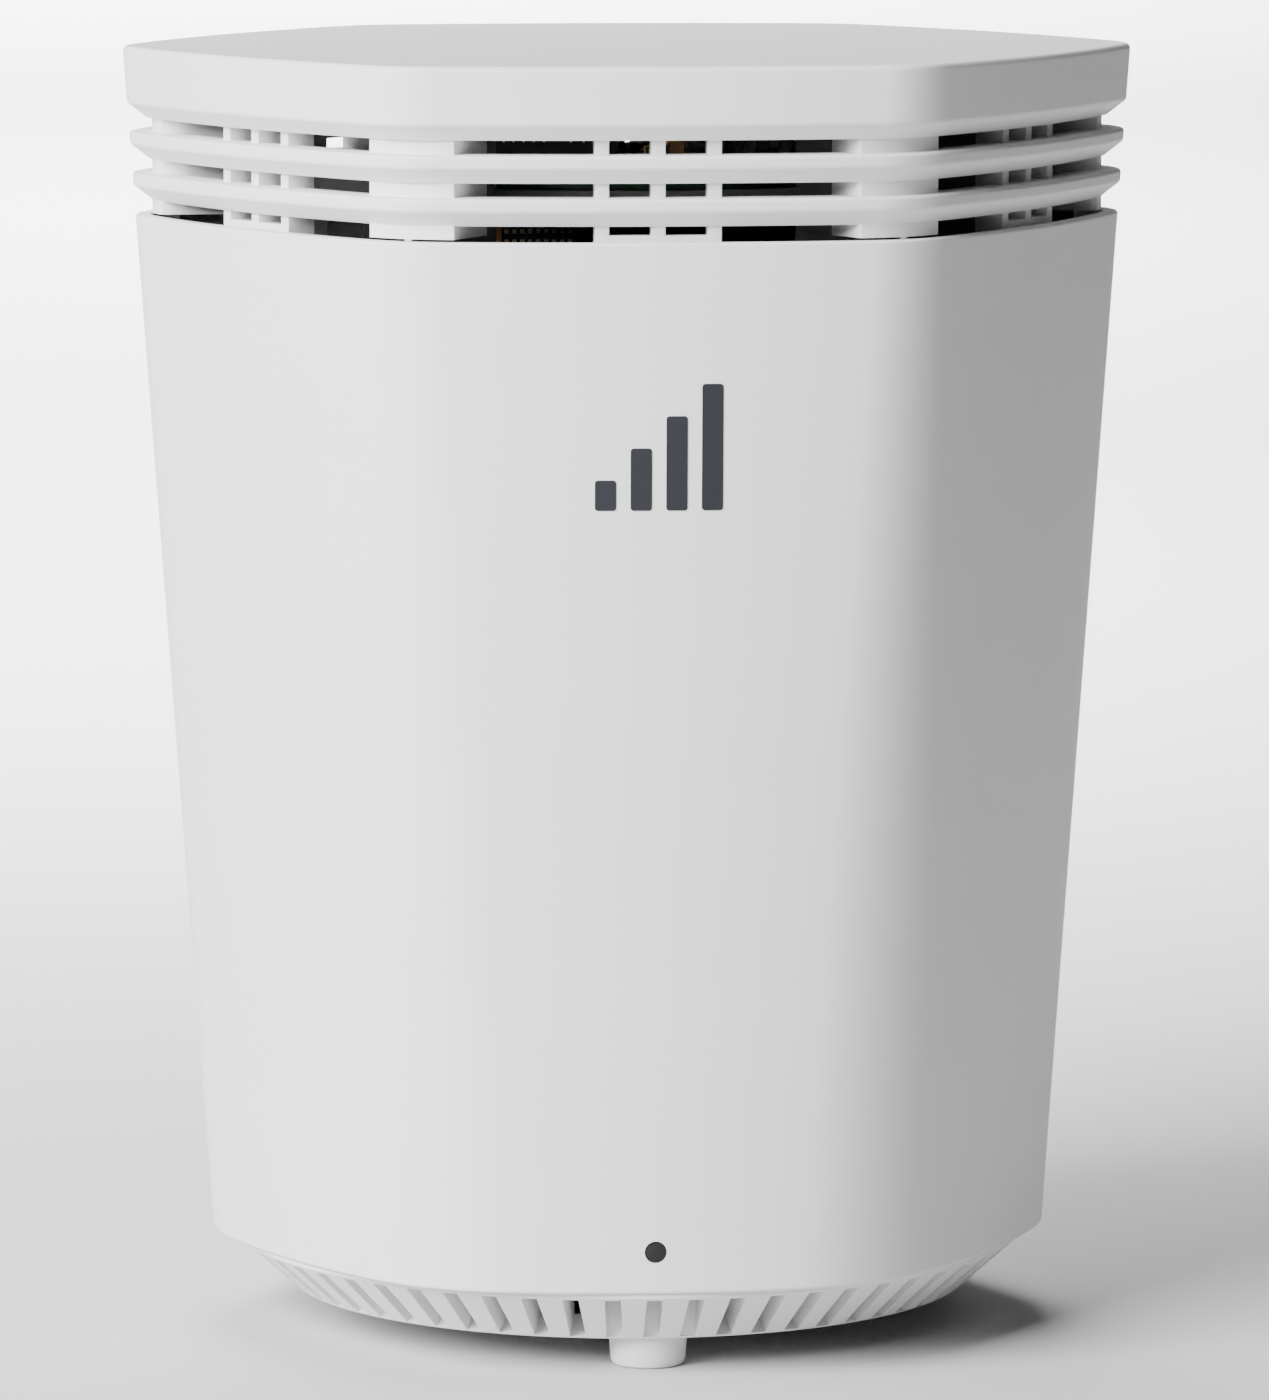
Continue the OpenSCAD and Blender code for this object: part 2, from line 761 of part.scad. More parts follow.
// Recessed bezel that closes the opening in the body round the sockets
module port_panel() {
    rim_low = port_win_z0 + 0.3;
    rim_high = port_win_z1 - 0.3;
    color("whitesmoke")
    difference() {
        intersection() {
            box([-port_half_w - 0.9, port_half_w + 0.9], [port_face_y - port_panel_t, 80],
                [rim_low, rim_high]);
            translate([0, -bow_centre(port_win_z0), 0])
                cylinder(h = 80, r = bow(port_win_z0) - 0.7, $fn = 180);
        }
        box([-port_half_w + 0.3, port_half_w - 0.3], [port_face_y, 80], [rim_low + 1.2, rim_high - 1.2]);
        for (x = jack_x)
            box([x - jack_w / 2 - 0.2, x + jack_w / 2 + 0.2], [port_face_y - 3, port_face_y + 1],
                [port_z - 0.2, port_z + jack_h + 0.2]);
        box([inlet_x - 4.8, inlet_x + 4.8], [port_face_y - 3, port_face_y + 1],
            [port_z - 0.2, port_z + 11.2]);
        translate([button_x, port_face_y + 1, pair_z]) rotate([90, 0, 0]) cylinder(h = 4, r = 2.9);
        translate([button_x, port_face_y + 1, reset_z]) rotate([90, 0, 0]) cylinder(h = 4, r = 1.1);
    }
}

button_board_y = port_face_y - 10.2;    // front face of the small board that carries the switches

module button_board() {
    color("darkgreen")
    box([button_x - 3.6, button_x + 3.2], [button_board_y - board_t, button_board_y],
        [port_z, pair_z + 3.6]);
}

module pair_button() {
    color("gainsboro")
    translate([button_x, port_face_y + pair_travel + 0.3, pair_z]) rotate([90, 0, 0]) {
        cylinder(h = port_panel_t + pair_travel + 0.3, r = 2.6);
        translate([0, 0, port_panel_t + pair_travel + 0.6]) cylinder(h = 1.2, r = 3.4);
        cylinder(h = port_panel_t + pair_travel + 1.2, r = 1.8);
    }
}

// Small push switch: front_y is where its body ends, towards the panel
module push_switch(z, half_h, front_y) {
    box([button_x - 3, button_x + 3], [button_board_y, front_y], [z - half_h, z + half_h]);
}

module pair_switch() {
    color("dimgray") push_switch(pair_z, 3, port_face_y - port_panel_t - 1.8 - pair_travel - 0.3);
}

reset_front_y = port_face_y - 5.4;

module reset_button() {
    // Plunger behind the pin hole: it slides in its switch
    color("dimgray")
    translate([button_x, port_face_y - port_panel_t - 0.3, reset_z]) rotate([90, 0, 0])
        cylinder(h = 4.8, r = 0.9);
}

module reset_switch() {
    color("dimgray")
    difference() {
        push_switch(reset_z, 2.5, reset_front_y);
        translate([button_x, reset_front_y + 1, reset_z]) rotate([90, 0, 0])
            cylinder(h = 1 + 1.9 + reset_travel + 0.2, r = 0.95);
    }
}

top_cover();
body_shell();
base_ring();
foot(0);  // foot_front
foot(120);  // foot_right
foot(240);  // foot_left
base_screws();
indicator_lens();
indicator_led();
led_board();
front_mark();
chassis();
main_board();
main_board_screws();
processor();
thermal_pad();
heat_sink();
shield_cans();
board_connector();
radio_board();
radio_screws();
radio_shields();
contact_springs();
antenna_board(0);  // antenna_board_front
antenna_board(90);  // antenna_board_right
antenna_board(180);  // antenna_board_rear
antenna_board(270);  // antenna_board_left
antenna_leads();
lead_connectors();
fan_frame();
fan_bearing();
fan_stator();
fan_shaft();
fan_rotor();
fan_screws();
port_board();
port_board_screws();
port_panel();
network_jack(jack_x[0]);  // network_jack_1
network_jack(jack_x[1]);  // network_jack_2
power_inlet();
button_board();
pair_button();
pair_switch();
reset_button();
reset_switch();
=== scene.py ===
import bpy
import bmesh
import math
from mathutils import Matrix, Vector


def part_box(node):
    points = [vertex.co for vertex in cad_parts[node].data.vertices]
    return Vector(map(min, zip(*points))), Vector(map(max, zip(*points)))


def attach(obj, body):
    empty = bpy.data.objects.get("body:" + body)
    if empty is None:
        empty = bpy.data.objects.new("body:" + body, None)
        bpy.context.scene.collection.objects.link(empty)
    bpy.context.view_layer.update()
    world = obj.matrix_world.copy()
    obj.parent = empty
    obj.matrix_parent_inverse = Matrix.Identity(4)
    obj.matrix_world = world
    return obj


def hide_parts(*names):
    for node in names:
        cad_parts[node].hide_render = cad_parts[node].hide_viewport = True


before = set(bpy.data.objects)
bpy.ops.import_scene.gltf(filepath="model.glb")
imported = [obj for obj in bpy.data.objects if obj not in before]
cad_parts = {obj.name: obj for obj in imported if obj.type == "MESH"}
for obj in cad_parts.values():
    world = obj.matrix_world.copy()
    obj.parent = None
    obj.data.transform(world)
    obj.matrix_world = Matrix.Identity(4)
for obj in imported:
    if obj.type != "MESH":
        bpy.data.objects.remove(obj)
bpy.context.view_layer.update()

MM = 0.001

# ---- measures of the enclosure, in millimetres ----

total_h = 195.5
body_z0 = 13.55
apothem_low, apothem_high = 61.3, 71.2
corner_low, corner_high = 32.9, 15.2
bow_low, bow_high = 124.8, 203.9
wall = 2.4
louvre_pitch = 6.25
louvre_face = 2.05
louvre_depth = 2.7
louvre_drop = 2.1
core_wall = 2.0
ring_wall = 6.2
core_apothem, core_bow, core_corner = 66.7, 300, 19.6
post_w = 2.1
post_depth = 4.5
post_pitch = 8.2
corner_post = 7.0
end_wall_deep, end_wall_short, end_wall_t = 10.0, 7.0, 2.0
band_z = 186.75
rim_z = 169.9
cover_skirt = 7.0
lid_t = 2.4
foot_h = 5.0
foot_r = 5.9
foot_place_r = 44.5
cone_top_z = 12.8
notch_count = 60
notch_w = 2.45
open_slot_r = 45.0
blind_slot_r = 52.0
slot_slope = 0.62
lens_z = 20.0
fan_y = -5.0
fan_z = 17.0
main_y = -12.0
board_t = 1.6
radio_z = 176.0
radio_r = 45.6
port_face_y = 56.0
port_z = 26.0
foot_angles = [0, 120, 240]
side_angles = [0, 60, 120, 180, 240, 300]
corner_angles = [30, 90, 150, 210, 270, 330]
radio_screw_turns = [45, 165, 285]


# ---- finishes ----

def finish(name, colour, rough=0.5, metal=0.0, grain=0.0, grain_size=2.0, blotch=0.0, glow=None):
    """A finish made of nodes: an even colour with faint clouds and a fine surface grain."""
    made = bpy.data.materials.new(name)
    made.use_nodes = True
    nodes, links = made.node_tree.nodes, made.node_tree.links
    surface = nodes["Principled BSDF"]
    surface.inputs["Roughness"].default_value = rough
    surface.inputs["Metallic"].default_value = metal
    surface.inputs["Base Color"].default_value = (*colour, 1)
    where = nodes.new("ShaderNodeTexCoord")
    if blotch:
        clouds = nodes.new("ShaderNodeTexNoise")
        clouds.inputs["Scale"].default_value = 60
        clouds.inputs["Detail"].default_value = 3
        links.new(where.outputs["Object"], clouds.inputs["Vector"])
        ramp = nodes.new("ShaderNodeValToRGB")
        ramp.color_ramp.elements[0].position = 0.35
        ramp.color_ramp.elements[1].position = 0.65
        ramp.color_ramp.elements[0].color = (*[c * (1 - blotch) for c in colour], 1)
        ramp.color_ramp.elements[1].color = (*[min(1, c * (1 + blotch)) for c in colour], 1)
        links.new(clouds.outputs["Fac"], ramp.inputs["Fac"])
        links.new(ramp.outputs["Color"], surface.inputs["Base Color"])
    if grain:
        noise = nodes.new("ShaderNodeTexNoise")
        noise.inputs["Scale"].default_value = 1000 / grain_size
        noise.inputs["Detail"].default_value = 2
        links.new(where.outputs["Object"], noise.inputs["Vector"])
        bump = nodes.new("ShaderNodeBump")
        bump.inputs["Strength"].default_value = grain
        bump.inputs["Distance"].default_value = 0.0001
        links.new(noise.outputs["Fac"], bump.inputs["Height"])
        links.new(bump.outputs["Normal"], surface.inputs["Normal"])
    if glow:
        surface.inputs["Emission Color"].default_value = (*glow, 1)
        surface.inputs["Emission Strength"].default_value = 0.4
    return made


white = finish("white moulded plastic", (0.80, 0.805, 0.80), 0.55, grain=0.05, grain_size=0.6, blotch=0.006)
foot_white = finish("white foot rubber", (0.78, 0.785, 0.78), 0.7, grain=0.15, grain_size=0.5)
inner_grey = finish("grey inner plastic", (0.28, 0.28, 0.275), 0.6, grain=0.1, grain_size=0.8, blotch=0.02)
board_green = finish("dark green board", (0.012, 0.05, 0.022), 0.35, grain=0.2, grain_size=1.2, blotch=0.25)
board_black = finish("black green board", (0.010, 0.018, 0.014), 0.4, grain=0.2, grain_size=1.2, blotch=0.3)
tin = finish("tinned steel can", (0.50, 0.44, 0.38), 0.38, metal=0.85, grain=0.1, grain_size=3, blotch=0.05)
steel = finish("bright steel", (0.62, 0.62, 0.63), 0.28, metal=1.0, grain=0.08, grain_size=0.7)
aluminium = finish("drawn aluminium", (0.66, 0.67, 0.68), 0.4, metal=1.0, grain=0.15, grain_size=0.5)
brass = finish("gold plated spring", (0.85, 0.58, 0.20), 0.3, metal=1.0, grain=0.05)
copper = finish("copper winding", (0.62, 0.28, 0.12), 0.35, metal=1.0, grain=0.5, grain_size=0.4)
black_plastic = finish("black plastic", (0.018, 0.018, 0.02), 0.45, grain=0.12, grain_size=0.6, blotch=0.1)
chip_black = finish("chip resin", (0.025, 0.025, 0.028), 0.5, grain=0.1, grain_size=0.5)
pad_blue = finish("soft thermal pad", (0.30, 0.42, 0.50), 0.8, grain=0.3, grain_size=1.0)
slate = finish("slate print", (0.009, 0.010, 0.016), 0.7)
smoked = finish("smoked lens", (0.004, 0.004, 0.004), 0.6)
lamp = finish("lamp lens", (0.85, 0.85, 0.75), 0.3, glow=(1, 0.95, 0.8))
coax_grey = finish("grey lead jacket", (0.10, 0.10, 0.105), 0.5, grain=0.1)
solder = finish("solder", (0.70, 0.70, 0.70), 0.25, metal=1.0)
amber = finish("amber part", (0.45, 0.22, 0.07), 0.4, blotch=0.1)
part_tan = finish("ceramic part", (0.42, 0.33, 0.24), 0.5)
sleeve_blue = finish("dark blue sleeve", (0.01, 0.025, 0.09), 0.35)


# ---- building shapes ----

def spin(degrees):
    return Matrix.Rotation(math.radians(degrees), 4, "Z")


def shift(x, y, z):
    return Matrix.Translation((x, y, z))


# turns a shape that was built along +Z so that it points along -Y
facing_front = Matrix.Rotation(math.radians(90), 4, "X")
facing_back = Matrix.Rotation(math.radians(-90), 4, "X")


class Shape:
    """Collects closed shells, in millimetres, each with the number of its finish."""

    def __init__(self):
        self.mesh = bmesh.new()

    def add(self, part, kind=0, place=None):
        for face in part.faces:
            face.material_index = kind
        if place is not None:
            part.transform(place)
        self.take(part)
        part.free()
        return self

    def take(self, part):
        held = bpy.data.meshes.new("held")
        part.to_mesh(held)
        self.mesh.from_mesh(held)
        bpy.data.meshes.remove(held)

    def block(self, x, y, z, kind=0, edge=0.15, place=None, steps=2):
        part = bmesh.new()
        bmesh.ops.create_cube(part, size=1)
        size = Vector((x[1] - x[0], y[1] - y[0], z[1] - z[0]))
        middle = Vector((x[0] + x[1], y[0] + y[1], z[0] + z[1])) / 2
        for v in part.verts:
            v.co = Vector([v.co[i] * size[i] + middle[i] for i in range(3)])
        if edge:
            reach = min(edge, min(size) * 0.45)
            bmesh.ops.bevel(part, geom=part.edges[:], offset=reach, segments=steps,
                            affect="EDGES", profile=0.5)
        return self.add(part, kind, place)

    def turned(self, profile, kind=0, place=None, sides=64):
        """Turns a profile of (radius, height) round the Z axis; radius 0 closes an end."""
        part = bmesh.new()
        rows = []
        for r, z in profile:
            if r == 0:
                rows.append([part.verts.new((0, 0, z))])
            else:
                rows.append([part.verts.new((r * math.cos(t), r * math.sin(t), z))
                             for t in [2 * math.pi * i / sides for i in range(sides)]])
        closed = profile[0][0] != 0 or profile[-1][0] != 0
        pairs = [(i, i + 1) for i in range(len(rows) - 1)]
        if closed:
            pairs.append((len(rows) - 1, 0))
        for i, k in pairs:
            low, high = rows[i], rows[k]
            for j in range(sides):
                n = (j + 1) % sides
                if len(low) == 1 and len(high) > 1:
                    part.faces.new((low[0], high[n], high[j]))
                elif len(high) == 1 and len(low) > 1:
                    part.faces.new((low[j], low[n], high[0]))
                elif len(low) > 1:
                    part.faces.new((low[j], low[n], high[n], high[j]))
        bmesh.ops.recalc_face_normals(part, faces=part.faces)
        return self.add(part, kind, place)

    def pin(self, r, z0, z1, kind=0, edge=0.15, place=None, sides=32):
        e = min(edge, r * 0.45, abs(z1 - z0) * 0.45)
        return self.turned([(0, z0), (r - e, z0), (r - e * 0.3, z0 + e * 0.3), (r, z0 + e), (r, z1 - e),
                            (r - e * 0.3, z1 - e * 0.3), (r - e, z1), (0, z1)], kind, place, sides)

    def tube(self, r_out, r_in, z0, z1, kind=0, edge=0.15, place=None, sides=64):
        e = min(edge, (r_out - r_in) * 0.4)
        return self.turned([(r_in + e, z0), (r_out - e, z0), (r_out, z0 + e), (r_out, z1 - e),
                            (r_out - e, z1), (r_in + e, z1), (r_in, z1 - e), (r_in, z0 + e)],
                           kind, place, sides)

    def loft(self, rows, kind=0, wrap=False, caps=True, place=None):
        """Joins equal rows of points. wrap closes the last row to the first; caps fills both ends."""
        part = bmesh.new()
        made = [[part.verts.new(p) for p in row] for row in rows]
        count = len(made[0])
        pairs = [(i, i + 1) for i in range(len(made) - 1)] + ([(len(made) - 1, 0)] if wrap else [])
        for i, k in pairs:
            for j in range(count):
                n = (j + 1) % count
                part.faces.new((made[i][j], made[i][n], made[k][n], made[k][j]))
        if caps and not wrap:
            part.faces.new(made[0][::-1])
            part.faces.new(made[-1])
        bmesh.ops.recalc_face_normals(part, faces=part.faces)
        return self.add(part, kind, place)

    def extruded(self, outline, z0, z1, kind=0, place=None, edge=0.0):
        """Raises a flat outline of (x, y) points from z0 to z1."""
        part = bmesh.new()
        low = [part.verts.new((x, y, z0)) for x, y in outline]
        high = [part.verts.new((x, y, z1)) for x, y in outline]
        count = len(outline)
        for j in range(count):
            n = (j + 1) % count
            part.faces.new((low[j], low[n], high[n], high[j]))
        part.faces.new(low[::-1])
        part.faces.new(high)
        bmesh.ops.recalc_face_normals(part, faces=part.faces)
        if edge:
            bmesh.ops.bevel(part, geom=part.edges[:], offset=edge, segments=2, affect="EDGES", profile=0.5)
        return self.add(part, kind, place)

    def swept(self, path, r, kind=0, sides=10, place=None):
        """A round wire along a path of points."""
        rows = []
        up = Vector((0, 0, 1))
        for i, p in enumerate(path):
            ahead = (Vector(path[min(i + 1, len(path) - 1)]) - Vector(path[max(i - 1, 0)])).normalized()
            side = ahead.cross(up)
            side = side.normalized() if side.length > 1e-4 else Vector((1, 0, 0))
            lift = side.cross(ahead).normalized()
            rows.append([Vector(p) + side * (r * math.cos(t)) + lift * (r * math.sin(t))
                         for t in [2 * math.pi * j / sides for j in range(sides)]])
        return self.loft(rows, kind, place=place)

    def copies(self, part, places, kind=0, change=0.0, seed=1):
        """Sets a part at every place of (point, turn) or (point, turn, stretch)."""
        made = laid_out(part, places, change, seed)
        held = bmesh.new()
        held.from_mesh(made)
        bpy.data.meshes.remove(made)
        return self.add(held, kind)

    def cut(self, tool):
        """Takes the tool's shape away from this one."""
        work, knife = plain_object(self.mesh, "work"), plain_object(tool.mesh, "knife")
        change = work.modifiers.new("cut", "BOOLEAN")
        change.operation, change.solver, change.object = "DIFFERENCE", "EXACT", knife
        result = baked(work)
        self.mesh.clear()
        self.mesh.from_mesh(result)
        bpy.data.meshes.remove(result)
        for o in (work, knife):
            bpy.data.objects.remove(o)
        return self


def plain_object(mesh, name):
    data = bpy.data.meshes.new(name)
    mesh.to_mesh(data)
    made = bpy.data.objects.new(name, data)
    bpy.context.scene.collection.objects.link(made)
    return made


def baked(obj):
    """The object's mesh with its modifiers applied, as new mesh data."""
    bpy.context.view_layer.update()
    deps = bpy.context.evaluated_depsgraph_get()
    return bpy.data.meshes.new_from_object(obj.evaluated_get(deps), preserve_all_data_layers=True,
                                           depsgraph=deps)


def copies_tree():
    """Geometry nodes: one copy of a part on every point, turned and stretched as each point says."""
    tree = bpy.data.node_groups.new("copies on points", "GeometryNodeTree")
    add = tree.interface.new_socket
    add(name="Points", in_out="INPUT", socket_type="NodeSocketGeometry")
    add(name="Part", in_out="INPUT", socket_type="NodeSocketObject")
    add(name="Size change", in_out="INPUT", socket_type="NodeSocketFloat")
    add(name="Seed", in_out="INPUT", socket_type="NodeSocketInt")
    add(name="Finish", in_out="INPUT", socket_type="NodeSocketMaterial")
    add(name="Result", in_out="OUTPUT", socket_type="NodeSocketGeometry")
    new, link = tree.nodes.new, tree.links.new
    given = new("NodeGroupInput")
    out = new("NodeGroupOutput")
    part = new("GeometryNodeObjectInfo")
    turn = new("GeometryNodeInputNamedAttribute")
    turn.data_type = "FLOAT_VECTOR"
    turn.inputs["Name"].default_value = "turn"
    stretch = new("GeometryNodeInputNamedAttribute")
    stretch.data_type = "FLOAT_VECTOR"
    stretch.inputs["Name"].default_value = "stretch"
    as_turn = new("FunctionNodeEulerToRotation")
    least = new("ShaderNodeMath")
    least.operation = "SUBTRACT"
    least.inputs[0].default_value = 1
    most = new("ShaderNodeMath")
    most.operation = "ADD"
    most.inputs[0].default_value = 1
    vary = new("FunctionNodeRandomValue")
    vary.data_type = "FLOAT"
    grown = new("ShaderNodeVectorMath")
    grown.operation = "SCALE"
    place = new("GeometryNodeInstanceOnPoints")
    real = new("GeometryNodeRealizeInstances")
    paint = new("GeometryNodeSetMaterial")
    link(given.outputs["Part"], part.inputs["Object"])
    link(given.outputs["Size change"], least.inputs[1])
    link(given.outputs["Size change"], most.inputs[1])
    link(least.outputs[0], vary.inputs[2])
    link(most.outputs[0], vary.inputs[3])
    link(given.outputs["Seed"], vary.inputs["Seed"])
    link(stretch.outputs["Attribute"], grown.inputs[0])
    link(vary.outputs[1], grown.inputs["Scale"])
    link(turn.outputs["Attribute"], as_turn.inputs["Euler"])
    link(given.outputs["Points"], place.inputs["Points"])
    link(part.outputs["Geometry"], place.inputs["Instance"])
    link(as_turn.outputs["Rotation"], place.inputs["Rotation"])
    link(grown.outputs["Vector"], place.inputs["Scale"])
    link(place.outputs["Instances"], real.inputs["Geometry"])
    link(real.outputs["Geometry"], paint.inputs["Geometry"])
    link(given.outputs["Finish"], paint.inputs["Material"])
    link(paint.outputs["Geometry"], out.inputs["Result"])
    return tree


copies_nodes = copies_tree()


def laid_out(part, places, change, seed):
    model = plain_object(part.mesh, "part")
    points = bpy.data.meshes.new("points")
    points.from_pydata([p[0] for p in places], [], [])
    turns = points.attributes.new("turn", "FLOAT_VECTOR", "POINT")
    sizes = points.attributes.new("stretch", "FLOAT_VECTOR", "POINT")
    for i, p in enumerate(places):
        turns.data[i].vector = p[1]
        sizes.data[i].vector = p[2] if len(p) > 2 else (1, 1, 1)
    holder = bpy.data.objects.new("points", points)
    bpy.context.scene.collection.objects.link(holder)
    nodes = holder.modifiers.new("copies", "NODES")
    nodes.node_group = copies_nodes
    inputs = {s.name: s.identifier for s in copies_nodes.interface.items_tree
              if s.in_out == "INPUT"}
    nodes[inputs["Part"]] = model
    nodes[inputs["Size change"]] = float(change)
    nodes[inputs["Seed"]] = seed
    nodes[inputs["Finish"]] = white
    result = baked(holder)
    for o in (model, holder):
        bpy.data.objects.remove(o)
    return result


def piece(shape, name, finishes, body, nodes, soften=0.0, sharp=32):
    """Turns a finished shape into a shown piece that rides on a body and stands for CAD nodes."""
    made = plain_object(shape.mesh, name)
    made.data.transform(Matrix.Scale(MM, 4))
    for f in finishes:
        made.data.materials.append(f)
    if soften:
        bevel = made.modifiers.new("soft edges", "BEVEL")
        bevel.width, bevel.segments, bevel.limit_method = soften * MM, 2, "ANGLE"
        bevel.angle_limit = math.radians(50)
        bevel.use_clamp_overlap = True
    for poly in made.data.polygons:
        poly.use_smooth = True
    made.data.set_sharp_from_angle(angle=math.radians(sharp))
    weigh = made.modifiers.new("even shading", "WEIGHTED_NORMAL")
    weigh.keep_sharp = True
    weigh.weight = 80
    result = baked(made)
    old = made.data
    made.modifiers.clear()
    made.data = result
    bpy.data.meshes.remove(old)
    made.data.name = name
    shape.mesh.free()
    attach(made, body)
    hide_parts(*nodes)
    return made


def arc(centre, r, start, stop, steps):
    """Points of (height, inset) on a small rounding, angles in degrees."""
    return [(centre[0] + r * math.sin(math.radians(start + (stop - start) * i / steps)),
             centre[1] - r * math.cos(math.radians(start + (stop - start) * i / steps)))
            for i in range(steps + 1)]


# ---- the tapered, rounded, bowed hexagon that every cover follows ----

def mix(low, high, z):
    return low + (high - low) * (z - body_z0) / (total_h - body_z0)


def hexagon(apothem, bow, corner, inset, z, face_steps=20, corner_steps=14):
    """A hexagon with bowed sides and round corners, moved inwards by inset."""
    back = bow - apothem
    b = back * math.cos(math.radians(30))
    free = bow - corner
    corner_centre = math.sqrt(b * b - back * back + free * free) - b
    half = math.atan2(corner_centre / 2, corner_centre * math.cos(math.radians(30)) + back)
    points = []
    for side in range(6):
        a = math.radians(side * 60 - 90)
        for i in range(face_steps + 1):
            t = a + half * (2 * i / face_steps - 1)
            points.append(Vector((-back * math.cos(a) + (bow - inset) * math.cos(t),
                                  -back * math.sin(a) + (bow - inset) * math.sin(t), z)))
        for i in range(1, corner_steps):
            t = a + half + (math.radians(60) - 2 * half) * i / corner_steps
            c = a + math.radians(30)
            points.append(Vector((corner_centre * math.cos(c) + (corner - inset) * math.cos(t),
                                  corner_centre * math.sin(c) + (corner - inset) * math.sin(t), z)))
    return points


def skin(z, inset):
    """The outline of the outer skin at height z."""
    return hexagon(mix(apothem_low, apothem_high, z), mix(bow_low, bow_high, z),
                   mix(corner_low, corner_high, z),
                   inset, z)


def core_front(x0, x1, turn, steps):
    """Points (x, y) across the upright core's outer face, in a frame turned by turn degrees."""
    back = spin(-turn)
    around = [back @ p for p in hexagon(core_apothem, core_bow, core_corner, 0, 0, 24, 24)]
    front = sorted([p for p in around if p.y < 0], key=lambda p: p.x)
    points = []
    for i in range(steps + 1):
        x = x0 + (x1 - x0) * i / steps
        k = next(n for n in range(1, len(front)) if front[n].x >= x)
        p, q = front[k - 1], front[k]
        points.append((x, p.y + (q.y - p.y) * (x - p.x) / (q.x - p.x)))
    return points


def core_block(shape, x0, x1, z0, z1, turn, depth, steps=8, edge=0.2, sink=0.0):
    """An upright wall behind the core's outer face, from x0 to x1 and depth deep."""
    front = core_front(x0 + edge, x1 - edge, turn, steps)
    outline = [(x0, front[0][1] + edge), (x0 + edge * 0.3, front[0][1] + edge * 0.3)]
    outline += front
    outline += [(x1 - edge * 0.3, front[-1][1] + edge * 0.3), (x1, front[-1][1] + edge)]
    outline += [(x1, front[-1][1] + depth), (x0, front[0][1] + depth)]
    shape.extruded([(x, y + sink) for x, y in outline], z0, z1, place=spin(turn))


# ---- covers ----

def upright(z0, z1, inset, count):
    return [(z0 + (z1 - z0) * i / count, inset) for i in range(count + 1)]


def make_top_cover():
    cover = Shape()
    low = band_z - louvre_drop
    lid = [(total_h - lid_t, ring_wall), (low + 0.2, ring_wall), (low, ring_wall - 0.2),
           (low, louvre_depth + 0.15)]
    lid += arc((low + 0.12, louvre_depth + 0.06), 0.12, -80, -50, 3)
    lid += arc((band_z + 0.6, 0.95), 0.95, -48, 0, 8)
    lid += upright(band_z + 0.8, total_h - 1.5, 0, 3)
    lid += arc((total_h - 0.95, 0.95), 0.95, 0, 90, 8)
    cover.loft([skin(z, inset) for z, inset in lid])
    for i in (1, 2):
        z = band_z - i * louvre_pitch
        low = z - louvre_drop
        ring = [(z + louvre_face - 0.1, ring_wall), (low + 0.1, ring_wall), (low, ring_wall - 0.1),
                (low, louvre_depth + 0.15)]
        ring += arc((low + 0.12, louvre_depth + 0.06), 0.12, -80, -50, 3)
        ring += arc((z + 0.55, 0.85), 0.85, -48, 0, 8)
        ring += [(z + 0.7, 0), (z + louvre_face - 0.65, 0)]
        ring += arc((z + louvre_face - 0.55, 0.55), 0.55, 0, 90, 7) + [(z + louvre_face, ring_wall - 0.2)]
        cover.loft([skin(h, inset) for h, inset in ring], wrap=True)
    post_z0, post_z1 = rim_z - cover_skirt, band_z - 0.6
    for turn in side_angles:
        for i in (-1, 0, 1):
            middle = i * post_pitch
            core_block(cover, middle - post_w / 2, middle + post_w / 2, post_z0, post_z1, turn, post_depth,
                       steps=2)
        core_block(cover, -post_pitch, post_pitch, post_z0 + 0.05, rim_z + 0.9, turn, core_wall, sink=0.04)
    for turn in corner_angles:
        core_block(cover, -corner_post, corner_post, rim_z + 0.3, post_z1, turn, core_wall, steps=16,
                   edge=0.35)
        core_block(cover, -0.6, 0.6, rim_z + 0.05, rim_z + 1, turn, core_wall, steps=2, sink=0.03)
        for side in (-1, 1):
            out = side * (corner_post - 0.02)
            inward = side * (corner_post - end_wall_t)
            depth = end_wall_deep if side > 0 else end_wall_short
            core_block(cover, min(out, inward), max(out, inward), rim_z + 0.32, post_z1, turn, depth, steps=2,
                       sink=0.4)
        cover.block([-1.4, 1.4], [-60, -52], [band_z - 1, total_h - lid_t + 0.5], place=spin(turn))
    return piece(cover, "top_cover_piece", [white], "housing", ["top_cover"])


def make_body():
    body = Shape()
    profile = [(body_z0 + 0.2, wall), (body_z0, wall - 0.2), (body_z0, 0.75)]
    profile += arc((body_z0 + 0.6, 0.6), 0.6, -75, 0, 6)
    profile += upright(body_z0 + 1, rim_z - 0.6, 0, 10)
    profile += arc((rim_z - 0.4, 0.4), 0.4, 0, 90, 6)
    profile += [(rim_z, wall - 0.2), (rim_z - 0.2, wall)]
    profile += [(z, wall) for z, _ in reversed(upright(body_z0 + 1, rim_z - 1, 0, 8))]
    body.loft([skin(z, inset) for z, inset in profile], wrap=True)
    window = Shape()
    window.block([-28.2, 28.2], [45, 80], [22.5, 43.5], edge=1.2, steps=4)
    window.pin(1.65, 0, 80, edge=0, place=shift(0, 0, lens_z) @ facing_front)
    body.cut(window)
    return piece(body, "body_shell_piece", [white], "housing", ["body_shell"])


